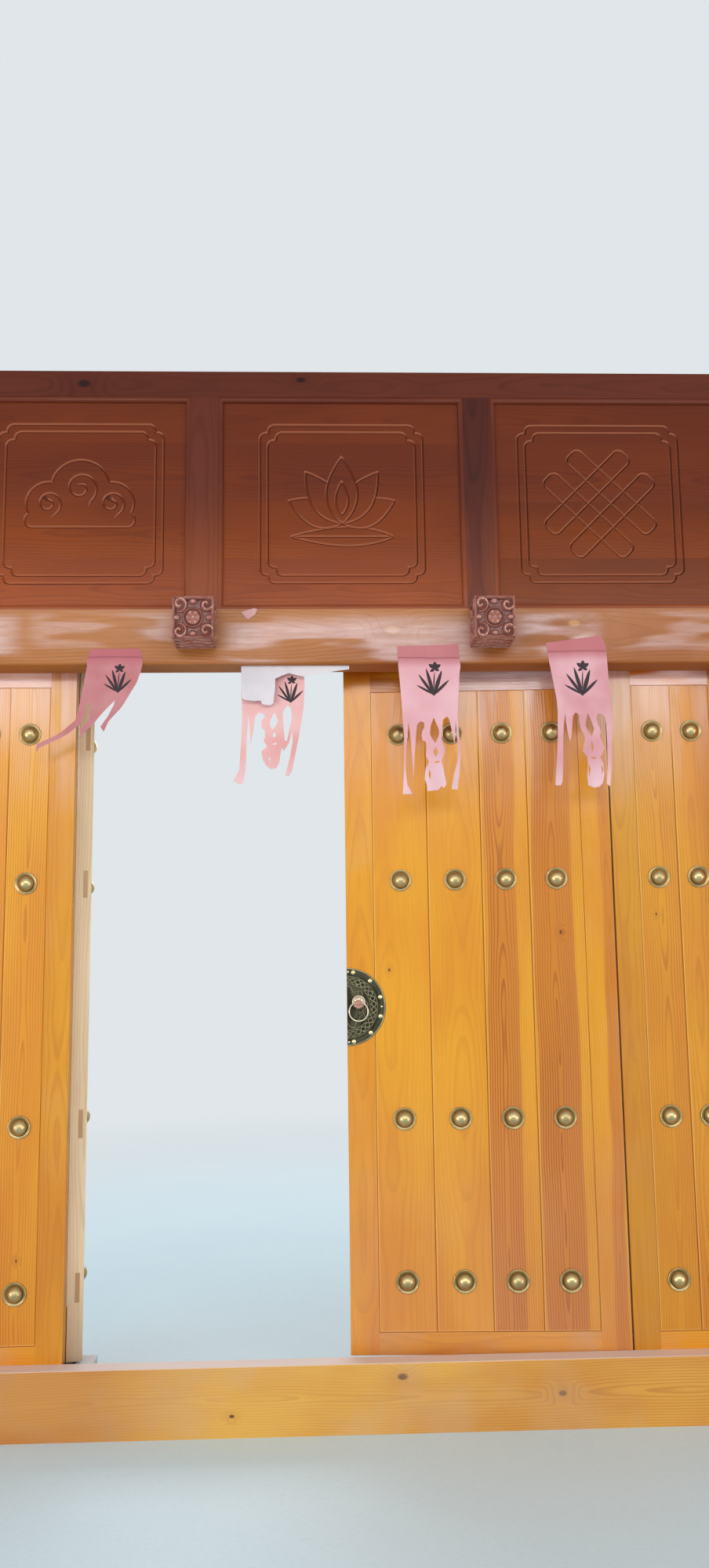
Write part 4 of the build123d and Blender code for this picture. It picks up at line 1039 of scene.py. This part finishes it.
PAPER_3 = pairs(168, 2346, 263, 2349, 362, 2352, 365, 2310, 368, 2282, 364, 2257, 358, 2174, 354, 2124, 356, 2081,
                360, 2017, 359, 1981, 356, 1946, 346, 1883, 326, 1884, 336, 1932, 349, 1974, 352, 2017, 349, 2067,
                348, 2117, 345, 2070, 341, 2026, 335, 2067, 328, 2106, 323, 2117, 314, 2114, 307, 2106, 304, 2067,
                302, 2046, 309, 2017, 308, 1999, 299, 1976, 303, 1953, 306, 1932, 310, 1904, 308, 1894, 302, 1889,
                295, 1895, 287, 1884, 255, 1883, 253, 1901, 247, 1922, 250, 1954, 256, 1964, 260, 1975, 252, 1996,
                255, 2017, 254, 2037, 242, 2044, 240, 2057, 242, 2071, 249, 2085, 249, 2100, 241, 2104, 233, 2102,
                226, 2092, 222, 2053, 217, 1996, 212, 1925, 209, 1989, 205, 2053, 200, 2103, 195, 2053, 189, 1990,
                187, 1947, 191, 1901, 206, 1872, 176, 1871, 179, 1912, 183, 1982, 185, 2053, 181, 2125, 177, 2204,
                171, 2283)
HOLES_3 = (pairs(279, 2116, 286, 2097, 294, 2077, 294, 2059, 282, 2033, 271, 2051, 266, 2064, 269, 2089),
           pairs(282, 2023, 290, 2005, 282, 1988, 274, 2005), pairs(274, 1972, 284, 1976, 296, 1974, 286, 1968),
           pairs(261, 1952, 266, 1936, 264, 1918, 259, 1933))
PAPER_4 = pairs(641, 2356, 727, 2367, 818, 2380, 830, 2355, 834, 2335, 836, 2273, 838, 2202, 841, 2141, 844, 2101,
                837, 2026, 832, 1951, 823, 1891, 814, 1902, 821, 1961, 823, 2026, 822, 2091, 820, 2117, 808, 2127,
                796, 2124, 792, 2111, 797, 2091, 805, 2071, 802, 2051, 815, 2016, 807, 1996, 800, 1986, 808, 1966,
                809, 1931, 802, 1902, 792, 1893, 778, 1890, 756, 1896, 754, 1922, 758, 1961, 756, 1986, 743, 2004,
                746, 2021, 752, 2041, 750, 2056, 741, 2076, 736, 2102, 738, 2117, 734, 2126, 725, 2128, 718, 2118,
                714, 2092, 710, 2057, 705, 2034, 699, 2062, 695, 2097, 693, 2126, 688, 2092, 685, 2052, 680, 1977,
                675, 1908, 670, 1897, 655, 1899, 661, 1977, 668, 2052, 671, 2127, 669, 2172, 660, 2233, 650, 2294)
HOLES_4 = (pairs(766, 2128, 777, 2101, 784, 2076, 776, 2052, 765, 2066, 757, 2086, 760, 2106), pairs(774, 2041,
           779, 2021, 775, 2002, 769, 2021), pairs(766, 1983, 777, 1987, 786, 1983, 776, 1980), pairs(761, 1964,
           766, 1947, 761, 1922, 759, 1944), pairs(804, 1964, 806, 1944, 802, 1931, 801, 1951))
FLAP = pairs(-324, 2291, 17, 2291, 17, 2279, -15, 2275, -72, 2265, -129, 2256, -150, 2261, -175, 2267, -196, 2259,
             -217, 2249, -217, 2220, -223, 2170, -233, 2164, -258, 2167, -262, 2179, -284, 2178, -309, 2181,
             -321, 2187, -323, 2243)
SCRAP = pairs(-324, 2459, -282, 2471, -272, 2468, -279, 2450, -300, 2436, -309, 2441)


def orchid(x, z, size):
    """Brush marks of an orchid: a fan of long leaves and one small flower, a plain painted ornament."""
    marks = ((0.0, -0.95, -0.86, 0.30, 0.10), (0.02, -0.95, -0.40, 0.66, 0.12), (0.04, -0.95, 0.52, 0.52, 0.13),
             (0.06, -0.92, 0.95, -0.05, 0.10), (-0.04, -0.90, -0.98, -0.35, 0.08), (0.02, -0.6, 0.10, 0.50, 0.05),
             (0.10, 0.72, -0.22, 0.94, 0.13), (0.12, 0.72, 0.46, 0.92, 0.13), (0.11, 0.76, 0.14, 1.10, 0.13),
             (0.08, 0.64, -0.16, 0.50, 0.10), (0.14, 0.64, 0.38, 0.56, 0.10))
    return [((x + a * size) * MM, (z + b * size) * MM, (x + c * size) * MM, (z + d * size) * MM, w * size * MM)
            for a, b, c, d, w in marks]


def paper_piece(name, node, outline, holes, bend, plane, material, slot="pink_paper"):
    """A cut paper, triangulated from its outline and holes, and bent by a rule."""
    points, edges = [], []
    for loop in (outline, *holes):
        run = spaced(closed(list(loop)), 7.0)[:-1]
        base = len(points)
        points += run
        edges += [(base + i, base + (i + 1) % len(run)) for i in range(len(run))]
    xs, zs = zip(*outline)
    grid = lattice((min(xs) + 4, max(xs), 9), (min(zs) + 4, max(zs), 9))
    points += [spot for spot, kept in zip(grid, inside(grid, outline)) if kept]
    flat, faces = triangulated(points, edges)
    faces = np.array(faces)
    middles = flat[faces].mean(1)
    keep = inside(middles, outline)
    for hole in holes:
        keep &= ~inside(middles, hole)
    used, faces = np.unique(faces[keep], return_inverse=True)
    flat, faces = flat[used], faces.reshape(-1, 3)
    x, y, z = bend(flat[:, 0], flat[:, 1])
    placed = np.stack((x * MM, plane + y * MM, z * MM), 1)
    piece = new_piece(name, placed, faces, material, "frame", slot, (node,) if node else ())
    size = ((max(xs) - min(xs)) * MM, (max(zs) - min(zs)) * MM)


def hanging(left, right, sway, curl, phase):
    """Flat against the lintel at the top, then free: long waves, and strips that curl forward near their ends."""
    def bend(x, z):
        down = np.clip((LINTEL_BOTTOM / MM + 12 - z) / 400, 0, 1.2)
        wave = np.sin((x - left) / (right - left) * 6.0 + phase) * 9 * down
        ripple = np.sin(z / 31 + x / 17 + phase) * 3.2 * down
        forward = -sway * down ** 1.3 - curl * down ** 3 * (0.5 + 0.5 * np.sin(x / 23 + phase))
        return x, forward + wave * 0.6 + ripple, z
    return bend


def blown(x, z):
    """The first hanging: blown to the left, its free part twisting away from the lintel."""
    down = np.clip((2300 - z) / 260, 0, 1.3)
    twist = (x + 720) / 90
    return x, -6 * down - 22 * down ** 2 * np.cos(twist * 1.4) + 5 * np.sin(x / 21 + z / 33) * down, z


def stuck(x, z):
    """The scrap: pasted flat, its middle a little proud."""
    return x, -1.5 * np.sin((z - 2436) / 14), z


ON_LINTEL = LINTEL_FACE - 0.001
FOLD_ROSE = (190, 98, 100)
paper_piece("paper_cut_1", "paper_hanging_1", PAPER_1, (), blown, ON_LINTEL, paper(
    "pink_paper_1", (190, 112, 114), (206, 136, 138), orchid(-706, 2244, 44), (2.318, (186, 92, 100))))
paper_piece("paper_cut_2", "paper_hanging_2", PAPER_2, HOLES_2, hanging(-324, -124, 10, 14, 0.8), LINTEL_FACE + 0.0512,
            paper("pink_paper_2", (232, 164, 160), (242, 188, 184), orchid(-170, 2218, 42)))
paper_piece("paper_cut_3", "paper_hanging_3", PAPER_3, HOLES_3, hanging(168, 368, 6, 20, 0.3), ON_LINTEL, paper(
    "pink_paper_3", (230, 166, 171), (238, 184, 190), orchid(280, 2238, 52), (2.312, FOLD_ROSE)))
paper_piece("paper_cut_4", "paper_hanging_4", PAPER_4, HOLES_4, hanging(641, 844, 5, 18, 2.1), ON_LINTEL, paper(
    "pink_paper_4", (216, 144, 150), (232, 176, 180), orchid(750, 2238, 54), (2.332, FOLD_ROSE)))
paper_piece("white_flap", "paper_strip", FLAP, (), hanging(-324, 17, 4, 8, 1.2), LINTEL_FACE + 0.0255,
            paper("white_paper", (216, 206, 210), (230, 220, 222)), slot="white_paper")
paper_piece("pink_scrap", None, SCRAP, (), stuck, LINTEL_FACE - 0.0012,
            paper("scrap_paper", (216, 156, 156), (230, 176, 172)))

# Floor and backdrop
BACKDROP, SKY_LIGHT = srgb(224, 230, 233), (0.94, 0.97, 1.0, 1)
FADE_START, FADE_END, FLOOR_REACH = 1.2, 7.5, 60


def floor_finish():
    """Pale concrete that takes the backdrop's colour far from the gate."""
    n = Finish("pale_concrete", (213, 238, 249))
    cloud, grit = n.clouds((0.9, 5, 0.6), (70.0, 4, 0.6))
    n.tint(n.smooth(cloud, 0.3, 0.7), (217, 241, 251))
    n.tint(n.smooth(grit, 0.5, 0.8, 0.0, 0.25), (190, 210, 220))
    n.finish(n.smooth(grit, 0.3, 0.7, 0.55, 0.7), grit, 0.0004)
    glow = n.out("Emission", {"Color": BACKDROP, "Strength": 1.0})
    far = n.smooth(n.length(n.place()), FADE_START, FADE_END)
    blend = n.out("MixShader", {0: far * n.seen(), 1: Wire(n, n.shader.outputs[0]), 2: glow})
    n.set(n.tree.nodes["Material Output"].inputs["Surface"], blend)
    return n.material


floor_corners = [(x * FLOOR_REACH, y * FLOOR_REACH, 0) for x, y in ((-1, -1), (1, -1), (1, 1), (-1, 1))]
floor = in_scene("floor", mesh_of("floor", floor_corners, [(0, 1, 2, 3)], floor_finish()))

world = bpy.data.worlds.new("studio")
bpy.context.scene.world = world
world.use_nodes = True
n = Nodes(world.node_tree)
n.tree.nodes.clear()
lit = n.out("Background", {"Color": SKY_LIGHT, "Strength": 0.5})
shown = n.out("Background", {"Color": BACKDROP, "Strength": 1.0})
n.add("OutputWorld", {"Surface": n.out("MixShader", {0: n.seen(), 1: lit, 2: shown})})

# Soft lamps: place, aim, width and height, watts, colour. A strip high in front, which the lintel mirrors, and
# two low lamps that light the carving from below
WHITE = (1, 1, 1)
for name, place, aim, size, power, colour in (
    ("sky_strip", (0.2, -6.2, 3.88), (0.2, 0.0, 3.0), (7.4, 0.5), 104, WHITE),
    ("sky_low", (0.2, -6.2, 3.32), (0.2, 0.0, 2.6), (7.4, 0.6), 46, WHITE),
    ("key", (-4.6, -4.6, 1.2), (0.0, 0.0, 1.6), (2.2, 2.0), 92, (1.0, 0.98, 0.96)),
    ("fill", (4.8, -4.4, 1.0), (0.0, 0.0, 1.5), (2.0, 2.0), 62, WHITE),
    ("behind", (0.0, 5.0, 4.0), (0.0, 0.0, 1.5), (5.0, 3.0), 110, WHITE),
):
    lamp = bpy.data.lights.new(name, "AREA")
    lamp.shape = "RECTANGLE"
    lamp.size, lamp.size_y = size
    lamp.energy, lamp.color = power, colour
    holder = in_scene(name, lamp)
    holder.location, holder.rotation_mode = place, "QUATERNION"
    holder.rotation_quaternion = (Vector(aim) - Vector(place)).to_track_quat("-Z", "Y")

# The photo's camera, as fitted: where it stands, where it looks and how far it is rolled
EYE = Vector((-0.10219, -3.75, 1.37293))
YAW, PITCH, ROLL = math.radians(2.057), math.radians(8.356), -0.01271
FOCAL_PX, PHOTO_HEIGHT_PX, SENSOR = 1512.9, 2000, 36
forward = Vector((math.sin(YAW) * math.cos(PITCH), math.cos(YAW) * math.cos(PITCH), math.sin(PITCH)))
level_right = Vector((math.cos(YAW), -math.sin(YAW), 0))
level_up = level_right.cross(forward)
right = math.cos(ROLL) * level_right + math.sin(ROLL) * level_up
up = -math.sin(ROLL) * level_right + math.cos(ROLL) * level_up
lens = bpy.data.cameras.new("camera")
lens.sensor_fit = "VERTICAL"
lens.sensor_height = lens.sensor_width = SENSOR
lens.lens = FOCAL_PX / PHOTO_HEIGHT_PX * SENSOR
camera = in_scene("camera", lens)
camera.matrix_world = Matrix.Translation(EYE) @ Matrix((right, up, -forward)).transposed().to_4x4()
bpy.context.scene.camera = camera
bpy.context.scene.view_settings.view_transform = "Standard"
